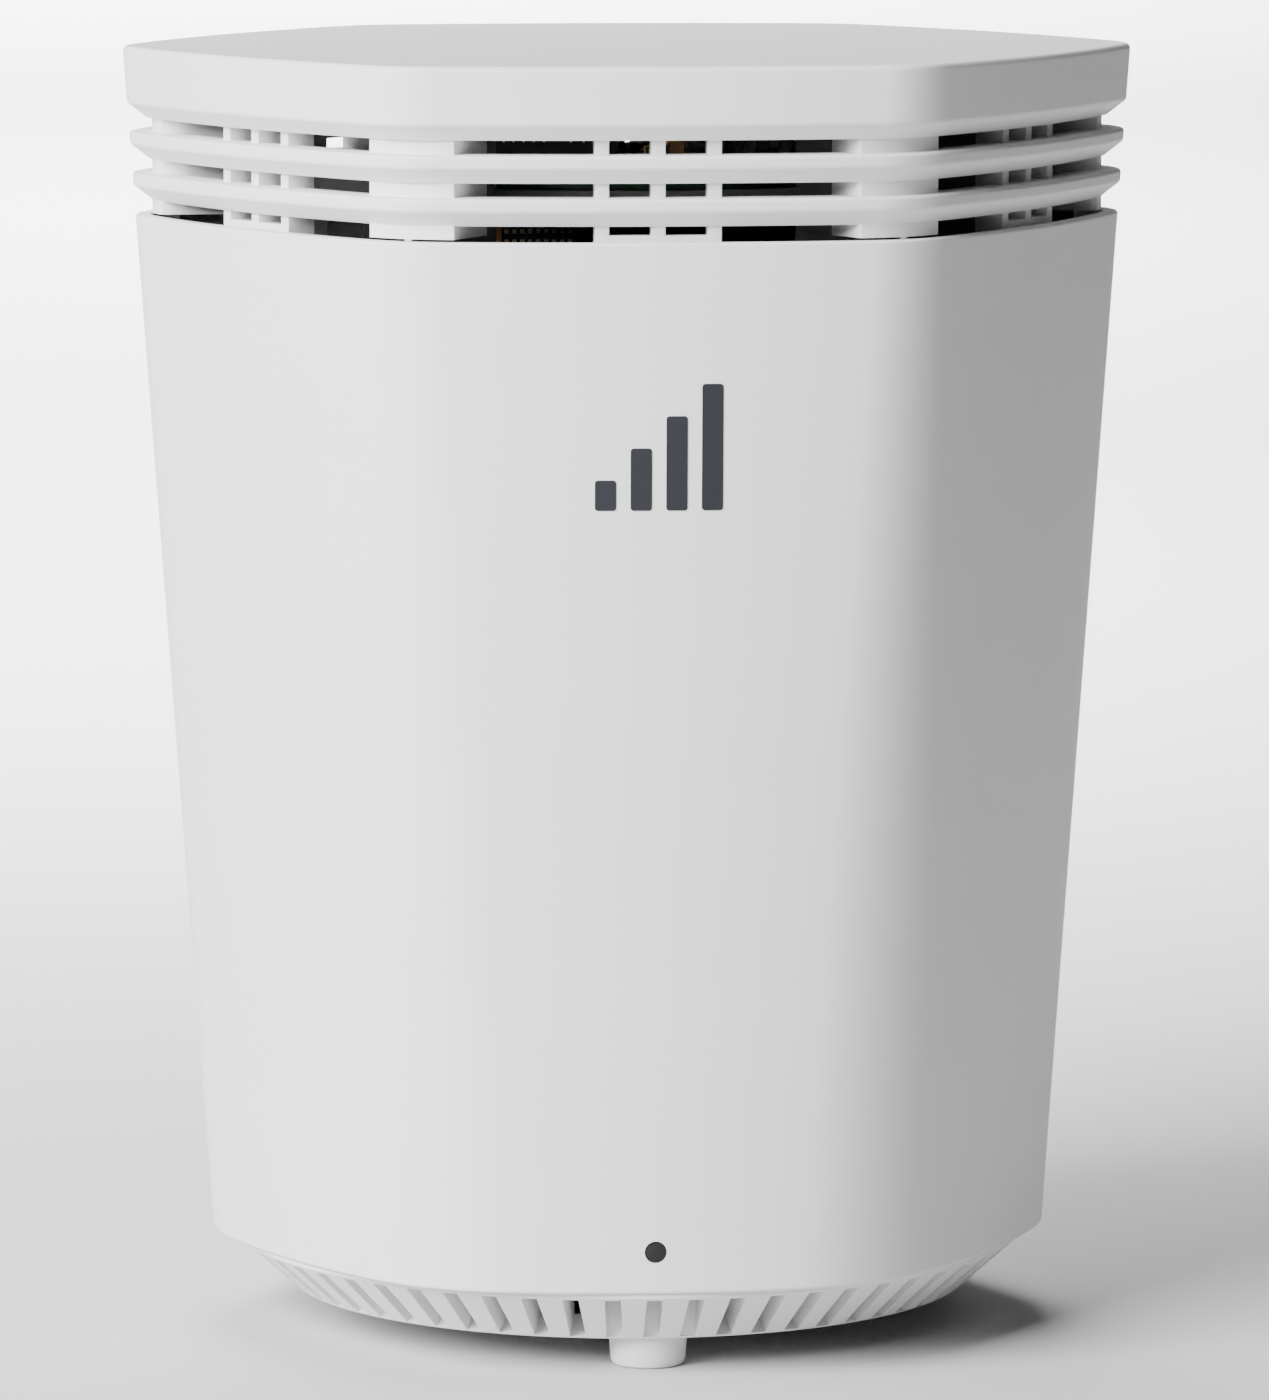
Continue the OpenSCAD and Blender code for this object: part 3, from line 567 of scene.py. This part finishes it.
def make_base():
    base = Shape()
    floor_z = foot_h + 2
    ledge_z = cone_top_z + 0.1
    outline = [(20, foot_h), (51.0, foot_h), (51.7, foot_h + 0.1), (52.2, foot_h + 0.35),
               (60.4, cone_top_z - 0.2), (60.6, cone_top_z + 0.05), (60.6, body_z0 - 0.15),
               (60.5, body_z0 - 0.05),
               (58.2, body_z0 - 0.05), (58.2, body_z0 + 1.8), (58.0, body_z0 + 2),
               (56.7, body_z0 + 2), (54.4, ledge_z), (48, ledge_z), (48, floor_z), (20, floor_z)]
    base.turned(outline, sides=240)
    slot_low, slot_top = foot_h + 0.15, cone_top_z - 0.35
    slope_r = 52.7
    knives = Shape()
    # the three slots behind each foot are blind
    for in_r, blind in ((open_slot_r, False), (blind_slot_r, True)):
        slot = Shape()
        side = [(in_r, slot_low + slot_slope * (slope_r - in_r)), (in_r, slot_top), (70, slot_top),
                (70, slot_low),
                (slope_r, slot_low)]
        slot.extruded(side, -notch_w / 2, notch_w / 2, place=facing_front)
        turns = [i for i in range(notch_count) if ((i + 1) % (notch_count // 3) < 3) == blind]
        knives.copies(slot, [((0, 0, 0), (0, 0, math.radians(i * 360 / notch_count - 90))) for i in turns])
    base.cut(knives)
    for turn in foot_angles:
        base.pin(6.8, foot_h + 0.1, foot_h + 8.4, place=spin(turn) @ shift(0, -foot_place_r, 0), sides=48)
    base.pin(21, foot_h, floor_z, edge=0.05, sides=96)
    pockets = Shape()
    for turn in foot_angles:
        where = spin(turn) @ shift(0, -foot_place_r, 0)
        pockets.pin(3.6, 0, foot_h + 3, edge=0, place=where, sides=48)
        pockets.pin(1.65, 0, 20, edge=0, place=where)
    base.cut(pockets)
    return piece(base, "base_ring_piece", [white], "housing", ["base_ring"], soften=0.12)


def make_feet():
    for name, turn in zip(("foot_front", "foot_right", "foot_left"), foot_angles):
        foot = Shape()
        foot.turned([(0, 0), (foot_r - 1.3, 0), (foot_r - 0.85, 0.07), (foot_r - 0.5, 0.3),
                     (foot_r - 0.32, 0.7),
                     (foot_r - 0.25, 1.1), (foot_r, foot_h - 0.15), (foot_r - 0.1, foot_h), (3.5, foot_h),
                     (3.5, foot_h + 1.1), (3.3, foot_h + 1.2), (0, foot_h + 1.2)],
                    place=spin(turn) @ shift(0, -foot_place_r, 0), sides=96)
        piece(foot, name + "_piece", [foot_white], "housing", [name])


def screw(head_r, head_h, r, length):
    """A pan-head screw along +Z, head below zero, with a cross recess and a thread."""
    made = Shape()
    made.turned([(0, -head_h), (head_r * 0.45, -head_h), (head_r * 0.8, -head_h * 0.86),
                 (head_r * 0.96, -head_h * 0.5),
                 (head_r, -head_h * 0.15), (head_r - 0.1, 0), (0, 0)], sides=40)
    cross = Shape()
    w = head_r * 0.17
    reach = head_r * 0.55
    for turn in (0, 90):
        cross.block([-reach, reach], [-w, w], [-head_h - 1, -head_h * 0.45], edge=0, place=spin(turn))
    made.cut(cross)
    steps = max(6, int(length / 0.7)) * 2
    thread = [(0, -0.2)] + [(r if i % 2 else r * 0.78, length * i / (steps + 2)) for i in range(steps + 1)]
    thread += [(r * 0.6, length * 0.97), (0, length)]
    made.turned(thread, sides=20)
    return made


def make_screws(name, sizes, places):
    """places lists (point, turn in degrees about X, turn about Z)."""
    all_screws = Shape()
    one = screw(*sizes)
    all_screws.copies(one, [(p, (math.radians(tilt), 0, math.radians(turn))) for p, tilt, turn in places])
    piece(all_screws, name + "_piece", [steel], "housing", [name])


def make_lens():
    lens = Shape()
    face_y = -mix(apothem_low, apothem_high, lens_z) + 0.05
    place = shift(0, face_y, lens_z) @ facing_back
    lens.turned([(0, 0.02), (1.1, 0.03), (1.45, 0.1), (1.6, 0.3), (1.6, 2.8), (2.5, 2.8), (2.6, 2.9),
                 (2.6, 3.9),
                 (2.5, 4.0), (1.6, 4.0), (1.6, 4.5), (1.5, 4.6), (0, 4.6)], place=place, sides=48)
    piece(lens, "indicator_lens_piece", [smoked], "housing", ["indicator_lens"])
    led_y = face_y + 4.9
    led = Shape()
    led.block([-0.8, 0.8], [led_y + 0.25, led_y + 0.8], [lens_z - 0.8, lens_z + 0.8], 0, edge=0.08)
    led.pin(0.55, 0, 0.5, 1, place=shift(0, led_y + 0.5, lens_z) @ facing_front, sides=24)
    piece(led, "indicator_led_piece", [lamp, lamp], "housing", ["indicator_led"])
    board = Shape()
    board.block([-7, 7], [led_y + 0.8, led_y + 2], [body_z0 + 3, 28], edge=0.08)
    piece(board, "led_board_piece", [board_green], "housing", ["led_board"])


def rounded_bar(x0, x1, z0, z1, r, steps=5):
    points = []
    for cx, cz, start in ((x1 - r, z0 + r, -90), (x1 - r, z1 - r, 0), (x0 + r, z1 - r, 90),
                          (x0 + r, z0 + r, 180)):
        for i in range(steps + 1):
            t = math.radians(start + 90 * i / steps)
            points.append((cx + r * math.cos(t), cz + r * math.sin(t)))
    return points


def make_mark():
    """Four rising signal bars printed on the front."""
    mark = Shape()
    size, mid, bar_w, bars = 18.8, 140.1, 3.2, 4
    for i in range(bars):
        x0 = -size / 2 + i * (size - bar_w) / (bars - 1)
        z0 = mid - size / 2
        edge = rounded_bar(x0 + 0.05, x0 + bar_w - 0.05, z0 + 0.1, z0 + size * (i + 1) / bars - 0.15, 0.45)
        rows = []
        for lift in (0.10, 0.07, -0.04):
            rows.append([])
            for x, z in edge:
                apothem, bow = mix(apothem_low, apothem_high, z), mix(bow_low, bow_high, z)
                rows[-1].append(Vector((x, bow - apothem - math.sqrt((bow + lift) ** 2 - x * x), z)))
        mark.loft(rows)
    piece(mark, "front_mark_piece", [slate], "housing", ["front_mark"])


# ---- inside ----

def board_parts(shape, seed, spots, kind):
    """Small block-shaped parts of one kind: spots lists (centre, half sizes)."""
    unit = Shape()
    unit.block([-1, 1], [-1, 1], [-1, 1], edge=0.12)
    shape.copies(unit, [(c, (0, 0, 0), h) for c, h in spots], kind, change=0.02, seed=seed)


def make_main_board():
    board = Shape()
    z0, z1, half = 40, 175, 40
    board.block([-half, half], [main_y, main_y + board_t], [z0, z1], 0, edge=0.12)
    holes = Shape()
    for side in (-1, 1):
        for z in (z0 + 8, z1 - 8):
            holes.pin(1.6, -5, 5, edge=0,
                      place=shift(side * (32 if z < 100 else 36), main_y, z) @ facing_front)
    board.cut(holes)
    front, back = main_y - 0.5, main_y + board_t + 0.5
    chips = [((-20, front, 60), (7, 0.5, 7)), ((14, front, 70), (9, 0.5, 6)), ((16, front, 96), (6, 0.5, 6)),
             ((-18, front, 92), (6, 0.5, 9))]
    board_parts(board, 1, chips, 1)
    small = [((-34 + 6.1 * i, front + 0.1, 104 + 2.3 * (i * 7 % 3)), (0.8, 0.4, 0.45)) for i in range(12)]
    small += [((-32 + 5.3 * i, front + 0.1, 82 + 3.1 * (i * 5 % 4)), (0.5, 0.4, 0.9)) for i in range(13)]
    small += [((-30 + 5.0 * i, back, 150 + 2.7 * (i * 3 % 5)), (0.9, 0.45, 0.5)) for i in range(13)]
    board_parts(board, 2, small, 2)
    coils = [((-6, front - 0.6, 50), (3, 1.1, 3)), ((4, front - 0.6, 50), (3, 1.1, 3)),
             ((30, front - 0.6, 58), (3.4, 1.1, 3.4))]
    board_parts(board, 3, coils, 3)
    can = Shape()
    can.turned([(0, 0), (2.5, 0), (2.58, 0.3), (2.3, 0.6), (2.58, 0.9), (2.58, 3.0), (2.3, 3.35), (0, 3.35)],
               place=facing_front, sides=36)
    board.copies(can, [((x, main_y, z), (0, 0, 0)) for x, z in ((26, 78), (33, 86), (-32, 70), (-31, 100))],
                 4)
    board.copies(can, [((30.5, main_y, 150), (0, 0, 0))], 5)
    board.block([-20.6, -9], [main_y - 3, main_y], [158, 169.4], 6, edge=0.3)
    board.block([-23, -20.1], [main_y - 3.4, main_y], [166, z1 - 0.6], 7, edge=0.3)
    socket = Shape()
    socket.block([-0.35, 0.35], [-0.2, 0.2], [-0.35, 0.35], edge=0.05)
    board.copies(socket,
                 [((-19.4 + 1.2 * i, main_y - 3.1, 160 + 1.6 * k), (0, 0, 0)) for i in range(9)
                  for k in range(6)], 2)
    board_parts(board, 9, [((-25, back + 0.7, 152), (9, 1.3, 4)), ((24, back + 0.7, 67), (10, 1.3, 7))], 1)
    piece(board, "main_board_piece", [board_green, chip_black, part_tan, chip_black, aluminium, sleeve_blue,
                                      black_plastic, amber], "housing", ["main_board"])


def make_boards_and_heat_path():
    chip = Shape()
    y = main_y + board_t
    chip.block([-10, 10], [y, y + 0.7], [102, 122], 0, edge=0.08)
    chip.block([-7, 7], [y + 0.6, y + 1.2], [105, 119], 1, edge=0.1)
    piece(chip, "processor_piece", [chip_black, steel], "housing", ["processor"])
    pad = Shape()
    pad.block([-9, 9], [y + 1.2, y + 2.2], [103, 121], edge=0.2)
    piece(pad, "thermal_pad_piece", [pad_blue], "housing", ["thermal_pad"])
    sink = Shape()
    y0 = y + 2.2
    sink.block([-28, 28], [y0, y0 + 3], [84, 140], edge=0.25)
    fin = Shape()
    fin.block([0, 1.4], [0, 17.4], [84, 140], edge=0.3)
    fins = 9
    sink.copies(fin, [((-28 + i * (56 - 1.4) / (fins - 1), y0 + 2.6, 0), (0, 0, 0)) for i in range(fins)])
    piece(sink, "heat_sink_piece", [aluminium], "housing", ["heat_sink"])


def can_shape(x, y, z, shape):
    """A pressed shield can with a raised lid, its lid towards -Y."""
    shape.block(x, [y[0] + 0.35, y[1]], z, edge=0.3)
    shape.block([x[0] + 0.6, x[1] - 0.6], [y[0], y[0] + 0.8], [z[0] + 0.6, z[1] - 0.6], edge=0.3)
    spots = []
    x_steps = int((x[1] - x[0] - 4) / 5)
    z_steps = int((z[1] - z[0] - 4) / 5)
    for i in range(x_steps + 1):
        for edge_z in (z[0] + 2.2, z[1] - 2.2):
            spots.append(((x[0] + 2.2 + i * (x[1] - x[0] - 4.4) / x_steps, y[0] + 0.25, edge_z), (0, 0, 0)))
    for i in range(1, z_steps):
        for edge_x in (x[0] + 2.2, x[1] - 2.2):
            spots.append(((edge_x, y[0] + 0.25, z[0] + 2.2 + i * (z[1] - z[0] - 4.4) / z_steps), (0, 0, 0)))
    holes = Shape()
    knife = Shape()
    knife.pin(0.5, -2, 0.5, edge=0, place=facing_back, sides=12)
    holes.copies(knife, spots)
    shape.cut(holes)


def make_cans():
    cans = Shape()
    for x, z in (([-28, -2], [112, 140]), ([6, 26], [118, 140])):
        one = Shape()
        can_shape(x, [main_y - 3, main_y], z, one)
        cans.add(one.mesh)
    cans.block([-19.7, -5], [main_y - 2.6, main_y], [170.2, 174.5], edge=0.25)
    cans.block([-19.2, -5.5], [main_y - 3, main_y - 2], [170.7, 174], edge=0.3)
    piece(cans, "shield_cans_piece", [tin], "housing", ["shield_cans"])
    top = Shape()
    for i in range(4):
        one = Shape()
        can_shape([-8, 8], [-2.6, 0], [8, 26], one)
        one.mesh.transform(shift(0, 0, radio_z + board_t) @ spin(i * 90 - 45)
                           @ Matrix.Rotation(math.radians(-90), 4, "X"))
        top.add(one.mesh)
    piece(top, "radio_shields_piece", [tin], "housing", ["radio_shields"])


def make_radio_board():
    board = Shape()
    board.pin(radio_r, radio_z, radio_z + board_t, edge=0.1, sides=120)
    top = radio_z + board_t
    near = -radio_r + 4.4
    board.block([3.3, 5.5], [near - 1.9, near + 1.9], [top - 0.2, top + 6.3], 1, edge=0.25)
    board_parts(board, 3, [((-3.5, 0, top + 1.4), (3, 5.6, 1.4)), ((3.6, 0, top + 1.2), (3, 5, 1.2))], 2)
    row = [((-13 + 2.9 * i, near + 1 + (i * 5 % 3), top + 0.35), (0.9, 0.5, 0.4)) for i in range(5)]
    row += [((9 + 2.6 * i, near + 1.2 + (i * 7 % 4), top + 0.4), (0.5, 0.9, 0.45)) for i in range(6)]
    row += [((30 + (i % 3) * 2, -24 + 2.7 * i, top + 0.35), (0.6, 0.9, 0.4)) for i in range(18)]
    row += [((-31 - (i % 3) * 2, -22 + 2.6 * i, top + 0.35), (0.9, 0.6, 0.4)) for i in range(18)]
    board_parts(board, 4, row, 3)
    for x, lean in ((14.2, 18), (19.4, 20)):
        board.block([-0.9, 0.9], [-0.4, 0.4], [0, 6.0], 4, edge=0.1,
                    place=shift(x, near + 4, top - 0.1) @ Matrix.Rotation(math.radians(lean), 4, "Y"))
    piece(board, "radio_board_piece", [board_green, amber, chip_black, part_tan, board_green], "housing",
          ["radio_board"])


def make_connector():
    link = Shape()
    y = main_y + board_t
    link.block([-14, 14], [y, y + 3.6], [42, 48], 0, edge=0.2)
    pin = Shape()
    pin.block([-0.3, 0.3], [-0.3, 1.7], [-0.2, 0.2], edge=0.05)
    link.copies(pin, [((-12 + i * 2, y + 3.3, z), (0, 0, 0)) for i in range(13) for z in (44, 46)], 1)
    piece(link, "board_connector_piece", [black_plastic, brass], "housing", ["board_connector"])


def make_springs():
    """Two bent strips of springy metal with a loop at the top."""
    springs = Shape()
    low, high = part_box("contact_springs")
    y0, y1, z0 = low.y / MM, high.y / MM, low.z / MM
    for x in (-0.2, 2.2):
        line = [(x - 0.45, z0 + 0.1), (x + 0.3, z0 + 0.1), (x + 0.45, z0 + 0.4), (x - 0.2, z0 + 4.2)]
        line += [(x + 0.8 * math.sin(t), z0 + 5.5 - 0.8 * math.cos(t))
                 for t in [math.radians(-20 + 15 * i) for i in range(21)]]
        rows = []
        for i, (px, pz) in enumerate(line):
            a, b = line[max(i - 1, 0)], line[min(i + 1, len(line) - 1)]
            along = Vector((b[0] - a[0], 0, b[1] - a[1])).normalized()
            off = Vector((-along.z, 0, along.x)) * 0.09
            p = Vector((px, 0, pz))
            rows.append([p + off + Vector((0, y0, 0)), p + off + Vector((0, y1, 0)),
                         p - off + Vector((0, y1, 0)), p - off + Vector((0, y0, 0))])
        springs.loft(rows)
    piece(springs, "contact_springs_piece", [brass], "housing", ["contact_springs"])


def make_antennas():
    names = ("antenna_board_front", "antenna_board_right", "antenna_board_rear", "antenna_board_left")
    y = radio_r - 9
    for name, turn in zip(names, (0, 90, 180, 270)):
        board = Shape()
        place = spin(turn)
        z0, z1 = radio_z + board_t, total_h - lid_t - 1.5
        board.block([-23, -4], [-y - 0.95, -y - 0.05], [z0, z1], 0, edge=0.06, place=place)
        trace = Shape()
        trace.block([-0.5, 0.5], [-0.02, 0.02], [-0.5, 0.5], edge=0)
        spots = [((-21 + i * 1.5, -y - 0.97, z0 + 7.6), (0, 0, 0), (0.4, 1, 5)) for i in range(5)]
        spots += [((-11 + i * 1.9, -y - 0.97, z0 + 7), (0, 0, 0), (0.35, 1, 4)) for i in range(4)]
        copies = Shape()
        copies.copies(trace, spots, 1)
        copies.mesh.transform(place)
        board.take(copies.mesh)
        piece(board, name + "_piece", [board_black, part_tan], "housing", [name])


def make_leads():
    y, top, connector_r = radio_r - 9, radio_z + board_t, 30
    rise = top + 2.2
    leads, ends = Shape(), Shape()
    for turn in (0, 90, 180, 270):
        place = spin(turn)
        at_connector = place @ shift(0, -connector_r, 0)
        leads.pin(0.9, top + 1.6, top + 2.8, 0, place=at_connector, sides=24)
        start, stop = Vector((0, -connector_r, rise)), Vector((-9, -y + 0.5, rise))
        path = []
        for i in range(13):
            t = i / 12
            p = start.lerp(stop, t)
            p.x += 0.9 * math.sin(math.pi * t)
            path.append(p)
        leads.swept(path, 0.55, 0, place=place)
        leads.block([-10.2, -7.8], [-y, -y + 0.7], [rise - 1, rise + 1], 1, edge=0.3, place=place)
        ends.tube(1.5, 0.95, top, top + 1.6, place=at_connector, sides=32)
        ends.pin(0.5, top, top + 1.4, place=at_connector, sides=16)
    piece(leads, "antenna_leads_piece", [coax_grey, solder], "housing", ["antenna_leads"])
    piece(ends, "lead_connectors_piece", [brass], "housing", ["lead_connectors"])


# ---- fan ----

def make_fan():
    fan = Shape()
    half, duct = 30, 28.4
    fan.extruded(rounded_bar(-half, half, -half, half, 3.5, 8), fan_z, fan_z + 15)
    hole = Shape()
    hole.pin(duct, fan_z - 1, fan_z + 16, edge=0, sides=128)
    for x in (-25, 25):
        for y in (-25, 25):
            hole.pin(2.1, fan_z - 1, fan_z + 16, edge=0, place=shift(x, y, 0))
    fan.cut(hole)
    fan.pin(12, fan_z, fan_z + 1.6, edge=0.3, sides=64)
    for turn in (45, 135, 225, 315):
        fan.block([10, duct + 1], [-1.5, 1.5], [fan_z, fan_z + 1.6], edge=0.3, place=spin(turn))
    fan.tube(3.4, 2.5, fan_z + 1, fan_z + 9.2, sides=48)
    fan.mesh.transform(shift(0, fan_y, 0))
    piece(fan, "fan_frame_piece", [black_plastic], "housing", ["fan_frame"], soften=0.25)

    sleeve = Shape()
    sleeve.tube(2.48, 1.54, fan_z + 2, fan_z + 9, edge=0.2, place=shift(0, fan_y, 0), sides=48)
    piece(sleeve, "fan_bearing_piece", [brass], "housing", ["fan_bearing"])

    coil = Shape()
    z = fan_z + 2.4
    for k in range(8):
        coil.tube(4.6, 3.42, z + k * 0.7, z + k * 0.7 + 0.68, 0, edge=0.08, sides=40)
    for turn in (0, 90, 180, 270):
        coil.block([4, 7.4], [-1.1, 1.1], [z + 0.9, z + 4.7], 0, edge=0.1, place=spin(turn))
        for k in range(5):
            coil.block([4.7 + k * 0.5, 5.2 + k * 0.5], [-1.6, 1.6], [z + 0.6, z + 5], 1, edge=0.24,
                       place=spin(turn))
        shoe = []
        for i in range(9):
            t = math.radians(-25 + 50 * i / 8)
            shoe.append((8.55 * math.cos(t), 8.55 * math.sin(t)))
        for i in range(9):
            t = math.radians(25 - 50 * i / 8)
            shoe.append((7.4 * math.cos(t), 7.4 * math.sin(t)))
        coil.extruded(shoe, z + 0.4, z + 5.2, 0, place=spin(turn))
    coil.mesh.transform(shift(0, fan_y, 0))
    piece(coil, "fan_stator_piece", [steel, copper], "housing", ["fan_stator"])

    shaft = Shape()
    shaft.pin(1.5, fan_z + 2, fan_z + 12.4, edge=0.3, place=shift(0, fan_y, 0), sides=40)
    piece(shaft, "fan_shaft_piece", [steel], "fan_rotor", ["fan_shaft"])

    rotor = Shape()
    hub, tip = 11.5, 27.35
    rotor.turned([(1.5, fan_z + 12.4), (1.5, fan_z + 10.8), (hub - 1.6, fan_z + 10.6),
                  (hub - 1.6, fan_z + 2.2),
                  (hub - 0.2, fan_z + 2), (hub, fan_z + 2.2), (hub, fan_z + 12.8), (hub - 0.35, fan_z + 13.6),
                  (hub - 1.2, fan_z + 14), (0.01, fan_z + 14), (0.01, fan_z + 12.4)], sides=96)
    blade = Shape()
    rows = []
    spans = 10
    for i in range(spans + 1):
        r = hub - 0.6 + (tip - hub + 0.6) * i / spans
        pitch = math.radians(44 - 16 * i / spans)
        chord = 9.6 + 3.4 * math.sin(math.pi * 0.5 * i / spans)
        lean = math.radians(10 * i / spans)
        section = []
        for side in (1, -1):
            for k in range(13)[::side]:
                u = -0.5 + k / 12
                camber = 0.9 * (1 - 4 * u * u)
                thick = 0.55 * math.sqrt(max(0.0, 1 - (2 * u) ** 2)) + 0.12
                section.append((u * chord, camber + side * thick))
        row = []
        for s, h in section:
            along = s * math.cos(pitch) - h * math.sin(pitch)
            up = s * math.sin(pitch) + h * math.cos(pitch)
            t = along / r + lean
            row.append(Vector((r * math.cos(t), r * math.sin(t), fan_z + 7.7 + up * 0.98)))
        rows.append(row)
    blade.loft(rows)
    rotor.copies(blade, [((0, 0, 0), (0, 0, math.radians(i * 360 / 7))) for i in range(7)])
    rotor.mesh.transform(shift(0, fan_y, 0))
    piece(rotor, "fan_rotor_piece", [black_plastic], "fan_rotor", ["fan_rotor"])


# ---- sockets and buttons ----

def make_port_side():
    y0 = port_face_y
    board = Shape()
    board.block([-32, 32], [31, y0 - 2], [port_z - board_t, port_z], edge=0.1)
    piece(board, "port_board_piece", [board_green], "housing", ["port_board"])

    for name, x in (("network_jack_1", 4.6), ("network_jack_2", -12)):
        jack = Shape()
        jack.block([x - 7.95, x + 7.95], [y0 - 21, y0 - 0.3], [port_z, port_z + 13.4], 0, edge=0.3)
        mouth = Shape()
        mouth.block([x - 5.9, x + 5.9], [y0 - 14, y0 + 1], [port_z + 2.2, port_z + 10.6], edge=0)
        jack.cut(mouth)
        lining = Shape()
        lining.block([x - 5.88, x + 5.88], [y0 - 13.95, y0 - 0.6], [port_z + 2.25, port_z + 10.55], edge=0)
        for half_w, low, high in ((5.4, 3.4, 10.1), (3, 2.4, 4)):
            hollow = Shape()
            hollow.block([x - half_w, x + half_w], [y0 - 13, y0 + 1], [port_z + low, port_z + high], edge=0)
            lining.cut(hollow)
        wire = Shape()
        wire.swept([(0, y0 - 12.9, port_z + 9.9), (0, y0 - 3.2, port_z + 9.9), (0, y0 - 2.6, port_z + 9.6),
                    (0, y0 - 3.2, port_z + 9.0), (0, y0 - 10, port_z + 6.3)], 0.18, sides=8)
        jack.copies(wire, [((x - 3.57 + i * 1.02, 0, 0), (0, 0, 0)) for i in range(8)], 2)
        for face in lining.mesh.faces:
            face.material_index = 1
        jack.take(lining.mesh)
        piece(jack, name + "_piece", [steel, black_plastic, brass], "housing", [name])

    x, z = 19.2, port_z + 5.6
    mouth = shift(x, y0, z) @ facing_front
    inlet = Shape()
    inlet.block([x - 4.6, x + 4.6], [y0 - 14, y0 - 0.3], [port_z, port_z + 11], 0, edge=0.4)
    bore = Shape()
    bore.pin(3.1, -1, 10, edge=0, place=mouth, sides=64)
    inlet.cut(bore)
    inlet.turned([(0, 2.2), (0.6, 2.3), (1, 2.9), (1, 10.2), (0, 10.2)], 1, place=mouth, sides=32)
    piece(inlet, "power_inlet_piece", [black_plastic, steel], "housing", ["power_inlet"])


for build in (make_top_cover, make_body, make_base, make_feet, make_lens, make_mark, make_main_board,
              make_boards_and_heat_path, make_cans, make_radio_board, make_connector, make_springs,
              make_antennas, make_leads, make_fan, make_port_side):
    build()

turns = [(spin(t) @ Vector((0, -foot_place_r, foot_h + 3)))[:] for t in foot_angles]
make_screws("base_screws", (2.8, 1.6, 1.5, 14), [(p, 0, 0) for p in turns])
make_screws("fan_screws", (2.6, 1.5, 1.2, 17.4),
            [((x, fan_y + y, fan_z), 0, 0) for x in (-25, 25) for y in (-25, 25)])
# the upper two are 3 mm below their holes
make_screws("main_board_screws", (2.7, 1.6, 1.2, 5.2),
            [((side * (32 if z < 100 else 36), main_y + board_t, z), 90, 0) for side in (-1, 1)
             for z in (48, 164)])
make_screws("radio_screws", (1.5, 1.0, 0.8, 4),
            [((spin(t) @ Vector((0, -44, radio_z + board_t)))[:], 180, 0) for t in radio_screw_turns])
make_screws("port_board_screws", (2.2, 1.2, 1.2, 6.2),
            [((side * 30, 39, port_z - board_t), 0, 0) for side in (-1, 1)])

# the plainer parts stay as the CAD shows them
cad_finishes = {"chassis": inner_grey, "port_panel": white, "button_board": board_green,
                "pair_button": inner_grey, "pair_switch": black_plastic, "reset_button": inner_grey,
                "reset_switch": black_plastic}
for node_name, shown_in in cad_finishes.items():
    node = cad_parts[node_name]
    node.data.materials.clear()
    node.data.materials.append(shown_in)


# ---- room, lights and camera ----

def area_light(name, place, aim, width, height, power, spread=180):
    data = bpy.data.lights.new(name, "AREA")
    data.shape, data.size, data.size_y = "RECTANGLE", width, height
    data.energy, data.spread = power, math.radians(spread)
    made = bpy.data.objects.new(name, data)
    bpy.context.scene.collection.objects.link(made)
    made.location = place
    made.rotation_mode = "QUATERNION"
    made.rotation_quaternion = (Vector(aim) - Vector(place)).to_track_quat("-Z", "Y")


def towards(azimuth, height):
    """Direction from the part, azimuth degrees round from the front and height degrees up."""
    a, h = math.radians(azimuth), math.radians(height)
    return Vector((math.sin(a) * math.cos(h), -math.cos(a) * math.cos(h), math.sin(h)))


def make_room():
    floor_data = bpy.data.meshes.new("floor")
    floor_data.from_pydata([(-9, -9, 0), (9, -9, 0), (9, 9, 0), (-9, 9, 0)], [], [(0, 1, 2, 3)])
    floor = bpy.data.objects.new("floor", floor_data)
    bpy.context.scene.collection.objects.link(floor)
    floor_data.materials.append(finish("pale floor", (0.62, 0.62, 0.62), 0.85))
    world = bpy.data.worlds.new("room")
    bpy.context.scene.world = world
    world.use_nodes = True
    world.node_tree.nodes["Background"].inputs["Color"].default_value = (1, 1, 1, 1)
    world.node_tree.nodes["Background"].inputs["Strength"].default_value = 0.06
    middle, key_distance, key_size = Vector((0, 0, 0.1)), 1.7, 1.1
    area_light("big soft light from the front left", towards(-51, 30) * key_distance + middle, middle,
               key_size, key_size, 102)
    # how far behind the part, how high, how large and how strong
    for y, height, size, power in ((0.95, 0.95, 0.8, 24), (2.4, 1.3, 1.6, 90), (5.2, 1.8, 3.2, 350)):
        area_light("light for the floor behind %.1f" % y, (-0.1, y, height), (-0.1, y, 0), size * 0.7, size,
                   power, 100)


def make_camera():
    aim = Vector((0.97, -0.06, 94.7)) * MM
    distance = 1332.2 * MM
    away = towards(-3.84, 7.03)
    data = bpy.data.cameras.new("camera")
    data.lens, data.sensor_width = 222.7, 36
    camera = bpy.data.objects.new("camera", data)
    bpy.context.scene.collection.objects.link(camera)
    camera.location = aim + away * distance
    camera.rotation_mode = "QUATERNION"
    camera.rotation_quaternion = (-away).to_track_quat("-Z", "Y")
    data.clip_start, data.clip_end = 0.01, 20
    bpy.context.scene.camera = camera


make_room()
make_camera()
